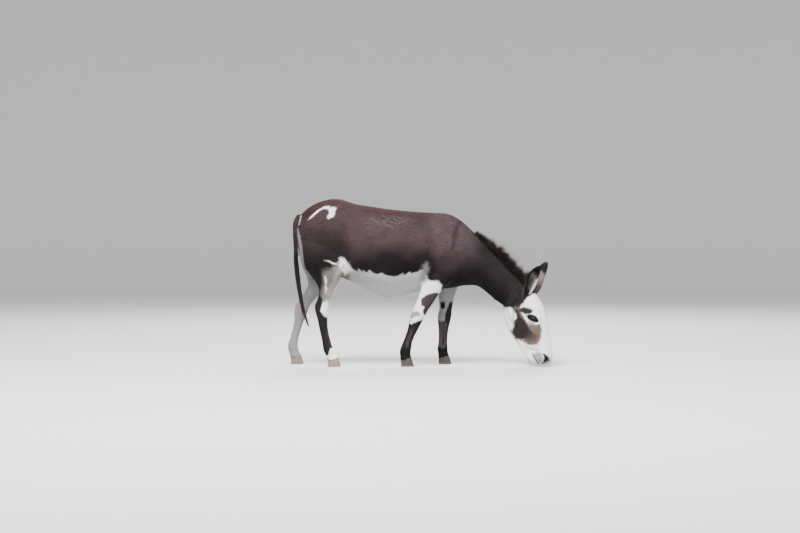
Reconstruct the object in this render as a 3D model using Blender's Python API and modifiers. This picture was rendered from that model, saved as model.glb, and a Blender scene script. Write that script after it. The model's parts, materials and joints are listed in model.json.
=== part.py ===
"""Miniature donkey, a spotted jenny standing with her head down to graze, life size.

Metres, +Z up, +X towards the nose, +Y towards her left side. The body is lofted from a few
sections, fused into one skin with its muscles, and parted into named pieces by thin cuts.
"""

import math
import random

import bmesh
import bpy
from mathutils import Matrix, Vector

# Driving sizes. X counts forward from the middle of the barrel, Z up from the ground.
GAP = 0.0003  # clearance that touching pieces keep
SKIN_VOXEL = 0.0036  # grain of the fused body before it is thinned
SKIN_SMOOTHING = 10
TRUNK_SMOOTHING = 70  # further rounds on the trunk, where the muscles lie deep
HEAD_SOFTNESS = 0.45  # share of that smoothing on the head
BODY_TRIANGLES = 4900
HEAD_TRIANGLES = 2150
SPARE = 0.03  # flesh left past a cut while the piece is thinned
LATHE_STEPS = 4  # points between two given ones round a section

# Torso sections: x, back height, belly height, and half width high, at the middle and low.
TORSO_LEVELS = (0.84, 0.50, 0.18)
TORSO = (
    (-0.744, 0.830, 0.700, 0.026, 0.040, 0.034),
    (-0.730, 0.866, 0.640, 0.050, 0.080, 0.070),
    (-0.690, 0.914, 0.585, 0.074, 0.122, 0.104),
    (-0.633, 0.949, 0.552, 0.096, 0.156, 0.126),
    (-0.578, 0.968, 0.535, 0.110, 0.170, 0.134),
    (-0.522, 0.976, 0.522, 0.120, 0.176, 0.140),
    (-0.468, 0.968, 0.508, 0.130, 0.182, 0.146),
    (-0.395, 0.944, 0.474, 0.126, 0.194, 0.158),
    (-0.300, 0.930, 0.425, 0.122, 0.208, 0.168),
    (-0.208, 0.916, 0.395, 0.120, 0.214, 0.170),
    (-0.110, 0.906, 0.414, 0.114, 0.206, 0.158),
    (-0.020, 0.899, 0.436, 0.098, 0.184, 0.136),
    (0.060, 0.896, 0.444, 0.078, 0.158, 0.114),
    (0.130, 0.894, 0.448, 0.062, 0.138, 0.098),
    (0.190, 0.870, 0.456, 0.054, 0.118, 0.088),
    (0.235, 0.815, 0.470, 0.048, 0.100, 0.078),
    (0.268, 0.725, 0.492, 0.038, 0.074, 0.058),
    (0.286, 0.640, 0.530, 0.018, 0.036, 0.028),
)

# Neck sections: crest x and z, throat x and z, y, and half width at the crest, middle, throat.
NECK_LEVELS = (0.88, 0.50, 0.13)
NECK = (
    (0.060, 0.885, 0.110, 0.500, 0.000, 0.046, 0.116, 0.084),
    (0.150, 0.886, 0.190, 0.468, 0.000, 0.042, 0.116, 0.086),
    (0.224, 0.846, 0.246, 0.466, -0.001, 0.036, 0.104, 0.076),
    (0.290, 0.786, 0.278, 0.468, -0.003, 0.031, 0.086, 0.060),
    (0.345, 0.735, 0.312, 0.463, -0.007, 0.026, 0.071, 0.050),
    (0.396, 0.684, 0.350, 0.440, -0.013, 0.023, 0.061, 0.045),
    (0.446, 0.634, 0.388, 0.408, -0.022, 0.021, 0.055, 0.043),
    (0.498, 0.575, 0.430, 0.374, -0.034, 0.021, 0.052, 0.043),
    (0.548, 0.520, 0.470, 0.345, -0.046, 0.023, 0.052, 0.044),
    (0.590, 0.474, 0.505, 0.325, -0.056, 0.024, 0.050, 0.042),
)

# Head frame: the poll, how far the face hangs forward of plumb and how far it turns to her right.
POLL = Vector((0.596, -0.055, 0.462))
FACE_PITCH = math.radians(12.0)
FACE_YAW = math.radians(-22.0)

# Head sections down from the poll: distance, face side and jaw side of the long axis, then
# half width near the face, at the orbits, at the cheek and at the jaw.
HEAD_LEVELS = (0.93, 0.78, 0.44, 0.10)
HEAD = (
    (-0.020, -0.012, -0.080, 0.018, 0.032, 0.036, 0.026),
    (0.000, 0.014, -0.100, 0.030, 0.048, 0.052, 0.038),
    (0.040, 0.044, -0.134, 0.042, 0.061, 0.060, 0.036),
    (0.090, 0.068, -0.158, 0.050, 0.073, 0.061, 0.032),
    (0.140, 0.081, -0.170, 0.053, 0.079, 0.062, 0.029),
    (0.190, 0.086, -0.177, 0.048, 0.075, 0.060, 0.027),
    (0.240, 0.087, -0.172, 0.038, 0.059, 0.053, 0.025),
    (0.290, 0.085, -0.152, 0.029, 0.048, 0.044, 0.024),
    (0.335, 0.082, -0.127, 0.025, 0.041, 0.038, 0.023),
    (0.375, 0.079, -0.106, 0.024, 0.040, 0.037, 0.023),
    (0.408, 0.073, -0.093, 0.025, 0.043, 0.038, 0.025),
    (0.438, 0.061, -0.080, 0.023, 0.041, 0.036, 0.023),
    (0.460, 0.040, -0.058, 0.015, 0.029, 0.027, 0.016),
)

# Places on the head, each down the face, forward of the long axis and out to the side.
EYE = (0.190, 0.022, 0.0610)
EYE_RADIUS = 0.0205
EYE_OUTWARD = (-0.02, 0.32, 0.93)  # where the eye looks: down the face, forward, out to the side
EYE_CORNERS = (0.55, 0.80, -0.20)  # from the outer corner of the lids to the inner one
EYE_OPENING = (0.0185, 0.0105, 0.0080)  # half length, height over and under the middle
LID_THICKNESS = 0.0036
SLIT_DEPTHS = ((0.002, 0.75), (0.046, 1.20))  # ends of the cut between the lids, and its spread
NOSTRIL = (0.421, 0.037, 0.0400)
NOSTRIL_HOLE = ((-0.006, -0.004, -0.020), (0.002, 0.002, 0.008), 0.0064)  # two ends and a radius
NOSTRIL_WING = ((-0.012, 0.010, -0.002), (0.006, 0.002, 0.002), 0.0042)
MOUTH_CORNER = (0.398, -0.034)
MOUTH_FRONT = (0.480, -0.004)
MOUTH_DEPTH = (0.020, 0.008)  # how far from the middle plane the line ends, at corner and front
MOUTH_WIDTH = 0.0019  # half the gap between the lips
MOUTH_OUTSIDE = 0.070
EAR_BASES = {"right": (0.034, 0.012, 0.050), "left": (0.034, 0.022, 0.050)}

# Ears: half width along the length, leather thickness, how far the leather wraps, and the mesh.
EAR_WIDTHS = ((0.0, 0.019), (0.12, 0.021), (0.30, 0.029), (0.48, 0.033), (0.66, 0.029),
              (0.82, 0.020), (0.93, 0.010), (1.0, 0.0022))
EAR_THICKNESS = 0.0032
EAR_SUNK = 0.035  # length of the base inside the head before it is cut clear
EAR_WRAP = (150, 78, 14)  # degrees to each side at the base, lost by half way, and lost by the tip
EAR_BOW = 0.004
EAR_CLEARANCE = 0.0008  # to the head, with the forelock's sharp edges
EAR_ROWS = 10
EAR_COLUMNS = 7
EAR_TIPS = {"right": (0.668, -0.138, 0.582), "left": (0.722, 0.010, 0.605)}
EAR_OPENINGS = {"right": (0.42, -0.90, 0.0), "left": (0.50, 0.86, 0.0)}

# Legs from the body down: height, x, distance out from the middle, half depth, half width.
FORE_RIGHT = (
    (0.680, 0.140, 0.060, 0.045, 0.020),
    (0.600, 0.130, 0.082, 0.078, 0.041),
    (0.525, 0.098, 0.092, 0.086, 0.046),
    (0.475, 0.064, 0.096, 0.076, 0.045),
    (0.432, 0.034, 0.098, 0.060, 0.040),
    (0.397, 0.017, 0.098, 0.052, 0.037),
    (0.352, -0.008, 0.097, 0.0485, 0.034),
    (0.318, -0.026, 0.096, 0.0430, 0.031),
    (0.290, -0.039, 0.096, 0.0425, 0.0345),
    (0.262, -0.050, 0.096, 0.0390, 0.0335),
    (0.228, -0.061, 0.097, 0.0325, 0.0255),
    (0.190, -0.077, 0.098, 0.0285, 0.0205),
    (0.146, -0.095, 0.099, 0.0275, 0.0200),
    (0.105, -0.107, 0.100, 0.0320, 0.0245),
    (0.082, -0.111, 0.100, 0.0325, 0.0250),
    (0.062, -0.109, 0.100, 0.0305, 0.0230),
    (0.046, -0.105, 0.100, 0.0345, 0.0285),
    (0.020, -0.101, 0.100, 0.0345, 0.0285),
)
FORE_LEFT = (
    (0.680, 0.158, 0.060, 0.045, 0.020),
    (0.600, 0.156, 0.082, 0.078, 0.041),
    (0.525, 0.150, 0.092, 0.080, 0.046),
    (0.475, 0.144, 0.096, 0.068, 0.044),
    (0.436, 0.139, 0.098, 0.055, 0.039),
    (0.390, 0.133, 0.098, 0.0440, 0.036),
    (0.340, 0.130, 0.097, 0.0385, 0.032),
    (0.315, 0.127, 0.096, 0.0385, 0.031),
    (0.290, 0.123, 0.096, 0.0410, 0.0345),
    (0.262, 0.120, 0.096, 0.0390, 0.0335),
    (0.228, 0.1175, 0.097, 0.0330, 0.0255),
    (0.190, 0.1155, 0.098, 0.0285, 0.0205),
    (0.140, 0.1130, 0.099, 0.0265, 0.0200),
    (0.105, 0.1110, 0.100, 0.0290, 0.0240),
    (0.082, 0.1110, 0.100, 0.0305, 0.0250),
    (0.062, 0.1145, 0.100, 0.0295, 0.0230),
    (0.046, 0.1190, 0.100, 0.0345, 0.0285),
    (0.020, 0.1240, 0.100, 0.0345, 0.0285),
)
HIND_RIGHT = (
    (0.800, -0.612, 0.070, 0.070, 0.040),
    (0.700, -0.610, 0.104, 0.114, 0.062),
    (0.640, -0.600, 0.112, 0.117, 0.067),
    (0.580, -0.585, 0.114, 0.110, 0.062),
    (0.528, -0.568, 0.114, 0.092, 0.054),
    (0.480, -0.563, 0.112, 0.062, 0.044),
    (0.444, -0.567, 0.110, 0.0425, 0.036),
    (0.392, -0.582, 0.107, 0.0365, 0.030),
    (0.355, -0.5945, 0.105, 0.0400, 0.030),
    (0.318, -0.5940, 0.105, 0.0375, 0.031),
    (0.272, -0.590, 0.106, 0.0290, 0.0245),
    (0.213, -0.582, 0.108, 0.0255, 0.0200),
    (0.156, -0.569, 0.110, 0.0255, 0.0200),
    (0.112, -0.560, 0.110, 0.0285, 0.0240),
    (0.088, -0.552, 0.110, 0.0305, 0.0250),
    (0.066, -0.540, 0.110, 0.0315, 0.0230),
    (0.050, -0.531, 0.110, 0.0350, 0.0280),
    (0.020, -0.524, 0.110, 0.0350, 0.0280),
)
HIND_LEFT = (
    (0.800, -0.612, 0.070, 0.070, 0.040),
    (0.700, -0.614, 0.104, 0.114, 0.062),
    (0.640, -0.618, 0.112, 0.117, 0.067),
    (0.580, -0.614, 0.114, 0.110, 0.062),
    (0.522, -0.606, 0.114, 0.092, 0.054),
    (0.468, -0.620, 0.112, 0.066, 0.043),
    (0.425, -0.652, 0.110, 0.052, 0.036),
    (0.380, -0.690, 0.107, 0.0450, 0.030),
    (0.343, -0.716, 0.105, 0.0430, 0.030),
    (0.302, -0.726, 0.105, 0.0380, 0.031),
    (0.258, -0.736, 0.106, 0.0290, 0.0245),
    (0.205, -0.751, 0.108, 0.0255, 0.0200),
    (0.152, -0.766, 0.110, 0.0255, 0.0200),
    (0.112, -0.775, 0.110, 0.0285, 0.0240),
    (0.088, -0.773, 0.110, 0.0305, 0.0250),
    (0.066, -0.763, 0.110, 0.0315, 0.0230),
    (0.050, -0.757, 0.110, 0.0350, 0.0280),
    (0.020, -0.750, 0.110, 0.0350, 0.0280),
)

# Each leg: its sections, side, where it leaves the trunk, the joint that parts it, and its hoof.
LEGS = {
    "foreleg_right": (FORE_RIGHT, -1, 0.436, 0.300, -0.0965),
    "foreleg_left": (FORE_LEFT, 1, 0.436, 0.300, 0.1270),
    "hindleg_right": (HIND_RIGHT, -1, 0.500, 0.385, -0.5205),
    "hindleg_left": (HIND_LEFT, 1, 0.492, 0.375, -0.7470),
}

# Hooves: the coronet's height over the toe and over the heel, and the ground ring.
CORONET_TOE = 0.053
CORONET_HEEL = 0.034
HOOF_HALF_LENGTH = 0.0375
HOOF_HALF_WIDTH = 0.0300
HOOF_RINGS = ((1.0, 0.86), (0.93, 0.93), (0.5, 0.97), (0.08, 1.03), (0.0, 1.01))
HOOF_UPRIGHTNESS = 0.10  # how much the wall draws in towards the coronet
HOOF_POINTS = 18
HOOF_HEEL = range(5, 13)  # those behind the widest place

# Tail: middle line of the fleshy dock from the croup down, x, z and radius.
TAIL_Y = -0.014
DOCK = (
    (-0.700, 0.868, 0.0230),
    (-0.728, 0.862, 0.0215),
    (-0.747, 0.830, 0.0175),
    (-0.752, 0.780, 0.0145),
    (-0.751, 0.720, 0.0130),
    (-0.748, 0.650, 0.0115),
    (-0.745, 0.580, 0.0100),
    (-0.738, 0.510, 0.0080),
    (-0.728, 0.440, 0.0050),
)
SWITCH_LINE = (
    (-0.750, 0.680),
    (-0.746, 0.590),
    (-0.735, 0.490),
    (-0.721, 0.400),
    (-0.702, 0.310),
    (-0.672, 0.222),
)

# Locks: how many, their width and thickness at the widest, and how deep the root is sunk.
MANE_LOCKS = 42
MANE_HEIGHT = 0.058
MANE_ROWS = 0.008  # distance between the rows of roots
MANE_REACH = (3.20, 8.40)  # where the mane starts and ends, counted in neck sections
FORELOCKS = 10
FORELOCK_COLUMNS = 4
FORELOCK_SPACING = 0.0078
FORELOCK_FAN = 3.0  # how far the locks lean out, for each metre from the middle
FORELOCK_BACK = (-0.010, -0.012)  # place of the first row of roots, down the face and forward
FORELOCK_STEP = 0.015
FORELOCK_LENGTH = 0.102
SWITCH_LOCKS = 17
SWITCH_START = 0.42  # share of the switch over which the roots are spread
SWITCH_LOCK_SHARE = (0.52, 0.58)  # shortest and longest lock, as a share of the switch
LOCK_WIDTH = 0.022
LOCK_THICKNESS = 0.0070
LOCK_ROOT = 0.013
LOCK_SHAPE = ((0.0, 0.80), (0.28, 1.0), (0.55, 0.86), (0.80, 0.52))  # share of length, of width
SEED = 7

# Colour and roughness of each node, as the larger part of it looks.
BROWN = ((0.085, 0.052, 0.040), 0.85)
BLACK_BROWN = ((0.045, 0.034, 0.036), 0.85)
WHITE_HAIR = ((0.62, 0.57, 0.53), 0.85)
EYE_GLOSS = ((0.018, 0.012, 0.010), 0.08)
HORN = ((0.13, 0.11, 0.10), 0.60)
FINISHES = {
    "torso": BROWN,
    "neck": BLACK_BROWN,
    "head": WHITE_HAIR,
    "tail": BROWN,
    "ear_right": BLACK_BROWN,
    "ear_left": BROWN,
    "eye_right": EYE_GLOSS,
    "eye_left": EYE_GLOSS,
    "foreleg_right_upper": BROWN,
    "foreleg_right_lower": BLACK_BROWN,
    "foreleg_left_upper": WHITE_HAIR,
    "foreleg_left_lower": BLACK_BROWN,
    "hindleg_right_upper": BROWN,
    "hindleg_right_lower": BLACK_BROWN,
    "hindleg_left_upper": WHITE_HAIR,
    "hindleg_left_lower": WHITE_HAIR,
    "hoof_fore_right": HORN,
    "hoof_fore_left": HORN,
    "hoof_hind_right": HORN,
    "hoof_hind_left": HORN,
}

# Muscles and bones that swell the skin: two ends and a half thickness, mirrored left and right.
TRUNK_MUSCLES = (
    ((-0.472, 0.117, 0.886), (-0.448, 0.127, 0.838), 0.024),  # point of the hip
    ((-0.700, 0.070, 0.800), (-0.675, 0.100, 0.660), 0.036),  # buttock
    ((-0.510, 0.118, 0.655), (-0.515, 0.116, 0.550), 0.038),  # stifle
    ((0.114, 0.044, 0.838), (0.200, 0.088, 0.650), 0.033),  # shoulder blade
    ((0.212, 0.078, 0.640), (0.188, 0.080, 0.560), 0.040),  # point of the shoulder
    ((0.060, 0.096, 0.655), (0.095, 0.098, 0.520), 0.044),  # back of the upper arm
    ((0.250, 0.045, 0.620), (0.235, 0.050, 0.510), 0.038),  # breast
)
HEAD_MUSCLES = (
    ((0.158, 0.026, 0.062), (0.190, 0.052, 0.060), 0.0170),  # brow
    ((0.108, 0.030, 0.056), (0.150, 0.034, 0.064), 0.0170),  # arch behind the eye
    ((0.125, -0.112, 0.031), (0.225, -0.088, 0.029), 0.0310),  # cheek
    ((0.120, -0.050, 0.042), (0.215, -0.045, 0.042), 0.0240),  # upper cheek
    ((0.215, -0.006, 0.054), (0.310, 0.006, 0.034), 0.0120),  # ridge below the eye
    ((0.398, 0.046, 0.028), (0.436, 0.026, 0.031), 0.0155),  # wing of the nostril
    ((0.418, -0.060, 0.012), (0.440, -0.050, 0.014), 0.0240),  # chin
)


def clear_scene():
    """Remove whatever the new file starts with."""
    for item in list(bpy.data.objects):
        bpy.data.objects.remove(item)


def make_collection(name):
    """Add a collection to the scene and return it."""
    collection = bpy.data.collections.new(name)
    bpy.context.scene.collection.children.link(collection)
    return collection


def add_object(name, shape, collection):
    """Turn a bmesh into an object of the collection, and free the bmesh."""
    mesh = bpy.data.meshes.new(name)
    shape.to_mesh(mesh)
    shape.free()
    item = bpy.data.objects.new(name, mesh)
    collection.objects.link(item)
    return item


def remove(item):
    """Delete an object with its mesh."""
    mesh = item.data
    bpy.data.objects.remove(item)
    bpy.data.meshes.remove(mesh)


def apply_modifiers(item):
    """Replace an object's mesh by what its modifiers make of it."""
    bpy.context.view_layer.update()
    evaluated = item.evaluated_get(bpy.context.evaluated_depsgraph_get())
    mesh = bpy.data.meshes.new_from_object(evaluated)
    old = item.data
    item.modifiers.clear()
    item.data = mesh
    bpy.data.meshes.remove(old)


def boolean(item, other, operation, solver="EXACT"):
    """Cut, join or cross an object with one object, or with all those of a collection."""
    modifier = item.modifiers.new(operation.lower(), "BOOLEAN")
    modifier.operation = operation
    modifier.solver = solver
    if isinstance(other, bpy.types.Collection):
        modifier.operand_type = "COLLECTION"
        modifier.collection = other
    else:
        modifier.object = other
    apply_modifiers(item)
    keep_largest(item)


def keep_largest(item):
    """Drop all but the biggest closed surface of an object, with loose scraps."""
    shape = bmesh.new()
    shape.from_mesh(item.data)
    bmesh.ops.remove_doubles(shape, verts=shape.verts, dist=1e-6)
    unseen = set(shape.verts)
    islands = []
    while unseen:
        stack = [unseen.pop()]
        island = []
        while stack:
            vertex = stack.pop()
            island.append(vertex)
            for edge in vertex.link_edges:
                neighbour = edge.other_vert(vertex)
                if neighbour in unseen:
                    unseen.remove(neighbour)
                    stack.append(neighbour)
        islands.append(island)
    islands.sort(key=len, reverse=True)
    for island in islands[1:]:
        bmesh.ops.delete(shape, geom=island, context="VERTS")
    bmesh.ops.triangulate(shape, faces=shape.faces)
    shape.to_mesh(item.data)
    shape.free()


def curve_point(rows, place):
    """Row of numbers at a place, counted in rows, on a smooth curve through the rows."""
    index = min(int(place), len(rows) - 2)
    part = place - index
    before = rows[max(index - 1, 0)]
    start = rows[index]
    end = rows[index + 1]
    after = rows[min(index + 2, len(rows) - 1)]
    values = []
    for a, b, c, d in zip(before, start, end, after):
        slope = (c - a) / 2
        next_slope = (d - b) / 2
        rise = c - b
        values.append(b + slope * part + (3 * rise - 2 * slope - next_slope) * part**2
                      + (slope + next_slope - 2 * rise) * part**3)
    return values


def closed_curve(points):
    """Points of a smooth closed curve through the given ones."""
    count = len(points)
    wrapped = [points[-1]] + points + points[:2]
    ring = []
    for index in range(count):
        for step in range(LATHE_STEPS):
            ring.append(Vector(curve_point(wrapped, index + 1 + step / LATHE_STEPS)))
    return ring


def section(bottom, top, side, levels, widths):
    """Ring round the line from bottom to top, each level of it as wide as the widths say."""
    rise = top - bottom
    left = [bottom + rise * level + side * width for level, width in zip(levels, widths)]
    right = [bottom + rise * level - side * width for level, width in zip(levels, widths)]
    return closed_curve([top] + left + [bottom] + right[::-1])


def loft(name, rings, collection):
    """Closed mesh through a row of rings."""
    shape = bmesh.new()
    loops = [[shape.verts.new(point) for point in ring] for ring in rings]
    for first, second in zip(loops, loops[1:]):
        for index in range(len(first)):
            shape.faces.new((first[index - 1], first[index], second[index], second[index - 1]))
    shape.faces.new(loops[0])
    shape.faces.new(loops[-1])
    bmesh.ops.recalc_face_normals(shape, faces=shape.faces)
    return add_object(name, shape, collection)


def rows_between(rows, steps):
    """Rows read from the smooth curve, the given ones and steps - 1 between each two."""
    count = (len(rows) - 1) * steps
    return [curve_point(rows, index / steps) for index in range(count + 1)]


def spindle(name, start, end, radius, collection, segments=20):
    """Ellipsoid from a little before the start to a little past the end."""
    start, end = Vector(start), Vector(end)
    axis = end - start
    turn = axis.to_track_quat("Z", "Y").to_matrix().to_4x4()
    sizes = Matrix.Diagonal((radius, radius, axis.length / 2 + radius * 0.8, 1))
    shape = bmesh.new()
    bmesh.ops.create_uvsphere(shape, u_segments=segments, v_segments=segments * 3 // 5, radius=1,
                              matrix=Matrix.Translation((start + end) / 2) @ turn @ sizes)
    return add_object(name, shape, collection)


def head_axes():
    """Directions down the face, forward out of it, and to her left."""
    forward = Vector((math.cos(FACE_YAW), math.sin(FACE_YAW), 0))
    down = forward * math.sin(FACE_PITCH) - Vector((0, 0, math.cos(FACE_PITCH)))
    left = Vector((-math.sin(FACE_YAW), math.cos(FACE_YAW), 0))
    return down, forward, left


def on_head(place, side=1):
    """World point of a place on the head, given down the face, forward and out to a side."""
    down, forward, left = head_axes()
    return POLL + down * place[0] + forward * place[1] + left * place[2] * side


def head_direction(parts, side):
    """Direction given by its parts down the face, forward and out to a side of the head."""
    down, forward, left = head_axes()
    return (down * parts[0] + forward * parts[1] + left * parts[2] * side).normalized()


def torso_rings():
    """Upright rings from the buttocks to the breast."""
    side = Vector((0, 1, 0))
    rings = []
    for x, top, bottom, *widths in rows_between(TORSO, 3):
        rings.append(section(Vector((x, 0, bottom)), Vector((x, 0, top)), side, TORSO_LEVELS, widths))
    return rings


def neck_rings():
    """Slanted rings from between the shoulders to the back of the head."""
    rings = []
    rows = rows_between(NECK, 3)
    for index, (crest_x, crest_z, throat_x, throat_z, y, *widths) in enumerate(rows):
        after = rows[min(index + 1, len(rows) - 1)]
        before = rows[max(index - 1, 0)]
        side = Vector((before[4] - after[4], after[0] - before[0], 0)).normalized()
        crest = Vector((crest_x, y, crest_z))
        throat = Vector((throat_x, y, throat_z))
        rings.append(section(throat, crest, side, NECK_LEVELS, widths))
    return rings


def head_rings():
    """Rings across the head from the poll to the lips."""
    left = head_axes()[2]
    rings = []
    for down, face, jaw, *widths in rows_between(HEAD, 3):
        rings.append(section(on_head((down, jaw, 0)), on_head((down, face, 0)), left,
                             HEAD_LEVELS, widths))
    return rings


def leg_rings(rows, side):
    """Level rings down a leg, a little flatter on the inside than an ellipse."""
    rings = []
    for z, x, out, depth, width in rows_between(rows, 3):
        centre = Vector((x, out * side, z))
        ring = []
        for index in range(24):
            angle = 2 * math.pi * index / 24
            reach = Vector((math.cos(angle) * depth, math.sin(angle) * width, 0))
            ring.append(centre + reach)
        rings.append(ring)
    return rings


def make_flesh(collection):
    """All the flesh as one fused, smoothed skin."""
    pieces = [
        loft("torso_form", torso_rings(), collection),
        loft("neck_form", neck_rings(), collection),
        loft("head_form", head_rings(), collection),
    ]
    for name, (rows, side, *_) in LEGS.items():
        pieces.append(loft(name + "_form", leg_rings(rows, side), collection))
    for side in (-1, 1):
        for start, end, radius in TRUNK_MUSCLES:
            pieces.append(spindle("muscle", (start[0], start[1] * side, start[2]),
                                  (end[0], end[1] * side, end[2]), radius, collection))
        for start, end, radius in HEAD_MUSCLES:
            pieces.append(spindle("muscle", on_head(start, side), on_head(end, side), radius,
                                  collection))
    joined = bmesh.new()
    for piece in pieces:
        joined.from_mesh(piece.data)
        remove(piece)
    flesh = add_object("flesh", joined, collection)
    remesh = flesh.modifiers.new("fuse", "REMESH")
    remesh.mode = "VOXEL"
    remesh.voxel_size = SKIN_VOXEL
    smooth = flesh.modifiers.new("smooth", "SMOOTH")
    smooth.iterations = SKIN_SMOOTHING
    apply_modifiers(flesh)
    soften_trunk(flesh)
    keep_largest(flesh)
    return flesh


def soften_trunk(flesh):
    """Smooth the trunk and the neck further, the head less and the legs not at all."""
    group = flesh.vertex_groups.new(name="trunk")
    bands = {}
    for vertex in flesh.data.vertices:
        above_legs = min(max((vertex.co.z - 0.44) / 0.10, 0), 1)
        on_head_share = min(max((vertex.co.x - 0.40) / 0.10, 0), 1)
        weight = above_legs * (1 - on_head_share) + HEAD_SOFTNESS * on_head_share
        bands.setdefault(round(10 * weight), []).append(vertex.index)
    for band, members in bands.items():
        group.add(members, band / 10, "REPLACE")
    smooth = flesh.modifiers.new("soften", "SMOOTH")
    smooth.iterations = TRUNK_SMOOTHING
    smooth.vertex_group = group.name
    apply_modifiers(flesh)


def cut_plane(item, point, normal):
    """Cut off what lies beyond the plane, and close the cut."""
    shape = bmesh.new()
    shape.from_mesh(item.data)
    everything = list(shape.verts) + list(shape.edges) + list(shape.faces)
    bmesh.ops.bisect_plane(shape, geom=everything, dist=1e-7, plane_co=point, plane_no=normal,
                           clear_outer=True)
    rim = [edge for edge in shape.edges if edge.is_boundary]
    caps = bmesh.ops.holes_fill(shape, edges=rim)["faces"]
    bmesh.ops.triangulate(shape, faces=caps)
    bmesh.ops.recalc_face_normals(shape, faces=shape.faces)
    shape.to_mesh(item.data)
    shape.free()


def copy_object(item, name, collection):
    """Copy an object with a mesh of its own."""
    twin = bpy.data.objects.new(name, item.data.copy())
    collection.objects.link(twin)
    return twin


def thin(item, triangles):
    """Thin the mesh to about so many triangles."""
    item.data.calc_loop_triangles()
    modifier = item.modifiers.new("thin", "DECIMATE")
    modifier.ratio = min(1.0, triangles / len(item.data.loop_triangles))
    apply_modifiers(item)


def split(item, name, point, normal, collection):
    """Part an object at a plane into the piece behind it, which keeps the object, and a new one."""
    normal = Vector(normal).normalized()
    beyond = copy_object(item, name, collection)
    cut_plane(item, Vector(point) - normal * GAP / 2, normal)
    cut_plane(beyond, Vector(point) + normal * GAP / 2, -normal)
    keep_largest(item)
    keep_largest(beyond)
    return beyond


def throat_plane():
    """Point and normal of the cut behind the poll and the jaws."""
    crest = Vector((0.573, -0.050, 0.505))
    throat = Vector((0.470, -0.034, 0.342))
    yaw = FACE_YAW * 0.8
    side = Vector((-math.sin(yaw), math.cos(yaw), 0))
    normal = side.cross(throat - crest).normalized()
    if normal.x < 0:
        normal.negate()
    return throat, normal


def make_trunk_nodes(flesh, parts, work):
    """Part the flesh into the head, the neck, the torso and both lengths of each leg."""
    point, normal = throat_plane()
    head = copy_object(flesh, "head", parts)
    cut_plane(head, point - normal * SPARE, -normal)
    thin(head, HEAD_TRIANGLES)
    add_forelock(head)
    cut_plane(head, point + normal * GAP / 2, -normal)
    keep_largest(head)

    torso = copy_object(flesh, "torso", parts)
    cut_plane(torso, point + normal * SPARE, normal)
    thin(torso, BODY_TRIANGLES)
    add_mane(torso)
    cut_plane(torso, point - normal * GAP / 2, normal)
    keep_largest(torso)
    neck = split(torso, "neck", (0.262, 0, 0.450), (0.50, 0, 0.100), parts)

    nodes = {"head": head, "torso": torso, "neck": neck}
    for name, (rows, side, top, joint, _) in LEGS.items():
        cutter = leg_space(rows, side, top + GAP, work)
        leg = copy_object(torso, name, parts)
        boolean(torso, cutter, "DIFFERENCE")
        remove(cutter)
        cutter = leg_space(rows, side, top, work)
        boolean(leg, cutter, "INTERSECT")
        remove(cutter)
        slope = lean(rows, joint)
        lower = split(leg, name + "_lower", (curve_at_height(rows, joint), 0, joint), slope, parts)
        leg.name = name + "_upper"
        nodes[leg.name] = leg
        nodes[lower.name] = lower
    return nodes


def leg_space(rows, side, top, collection):
    """Roomy tube round the free length of a leg, flat on top."""
    rings = []
    spaced = [row for row in rows if row[0] < top - 0.01]
    first = curve_point(rows, place_at_height(rows, top))
    first[0] = top
    for z, x, out, depth, width in [first] + spaced + [[-0.1] + list(rows[-1][1:])]:
        room_x = depth * 1.15 + 0.016
        room_y = min(width * 1.15 + 0.016, out - 0.012)
        rings.append([Vector((x + room_x * math.cos(turn), out * side + room_y * math.sin(turn), z))
                      for turn in (index * math.pi / 8 for index in range(16))])
    return loft("leg_space", rings, collection)


def place_at_height(rows, height):
    """Place on the smooth curve through a leg's sections where it passes a height."""
    for index, (upper, lower) in enumerate(zip(rows, rows[1:])):
        if lower[0] <= height <= upper[0]:
            return index + (upper[0] - height) / (upper[0] - lower[0])
    return len(rows) - 1


def curve_at_height(rows, height):
    """Middle x of a leg at a height."""
    for upper, lower in zip(rows, rows[1:]):
        if lower[0] <= height <= upper[0]:
            share = (upper[0] - height) / (upper[0] - lower[0])
            return upper[1] + (lower[1] - upper[1]) * share
    return rows[-1][1]


def lean(rows, height):
    """Direction down a leg at a height, seen from the side."""
    above = curve_at_height(rows, height + 0.03)
    below = curve_at_height(rows, height - 0.03)
    return Vector((below - above, 0, -0.06)).normalized()


def make_hooves(nodes, parts):
    """Cut each pastern at its coronet and stand it on a hoof with a flat sole."""
    hooves = {}
    for name, (rows, side, _, _, x) in LEGS.items():
        out = rows[-1][2] * side
        coronet_x = curve_at_height(rows, (CORONET_TOE + CORONET_HEEL) / 2)
        slope = (CORONET_TOE - CORONET_HEEL) / (2 * HOOF_HALF_LENGTH)
        middle = Vector((coronet_x, out, (CORONET_TOE + CORONET_HEEL) / 2))
        normal = Vector((slope, 0, -1)).normalized()
        cut_plane(nodes[name + "_lower"], middle - normal * GAP / 2, normal)
        keep_largest(nodes[name + "_lower"])
        rings = []
        for share, spread in HOOF_RINGS:
            ring = []
            for point in hoof_outline(spread):
                top = middle.z + slope * point[0] - GAP / 2
                shift = (coronet_x - x) * share - HOOF_UPRIGHTNESS * share * point[0]
                ring.append(Vector((x + point[0] + shift, out + point[1], top * share)))
            rings.append(ring)
        part = "hoof_fore_" if name.startswith("fore") else "hoof_hind_"
        hoof_name = part + ("right" if side < 0 else "left")
        hooves[hoof_name] = loft(hoof_name, rings, parts)
        cut_plane(hooves[hoof_name], middle + normal * GAP / 2, -normal)
        triangulate(hooves[hoof_name])
    return hooves


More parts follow.
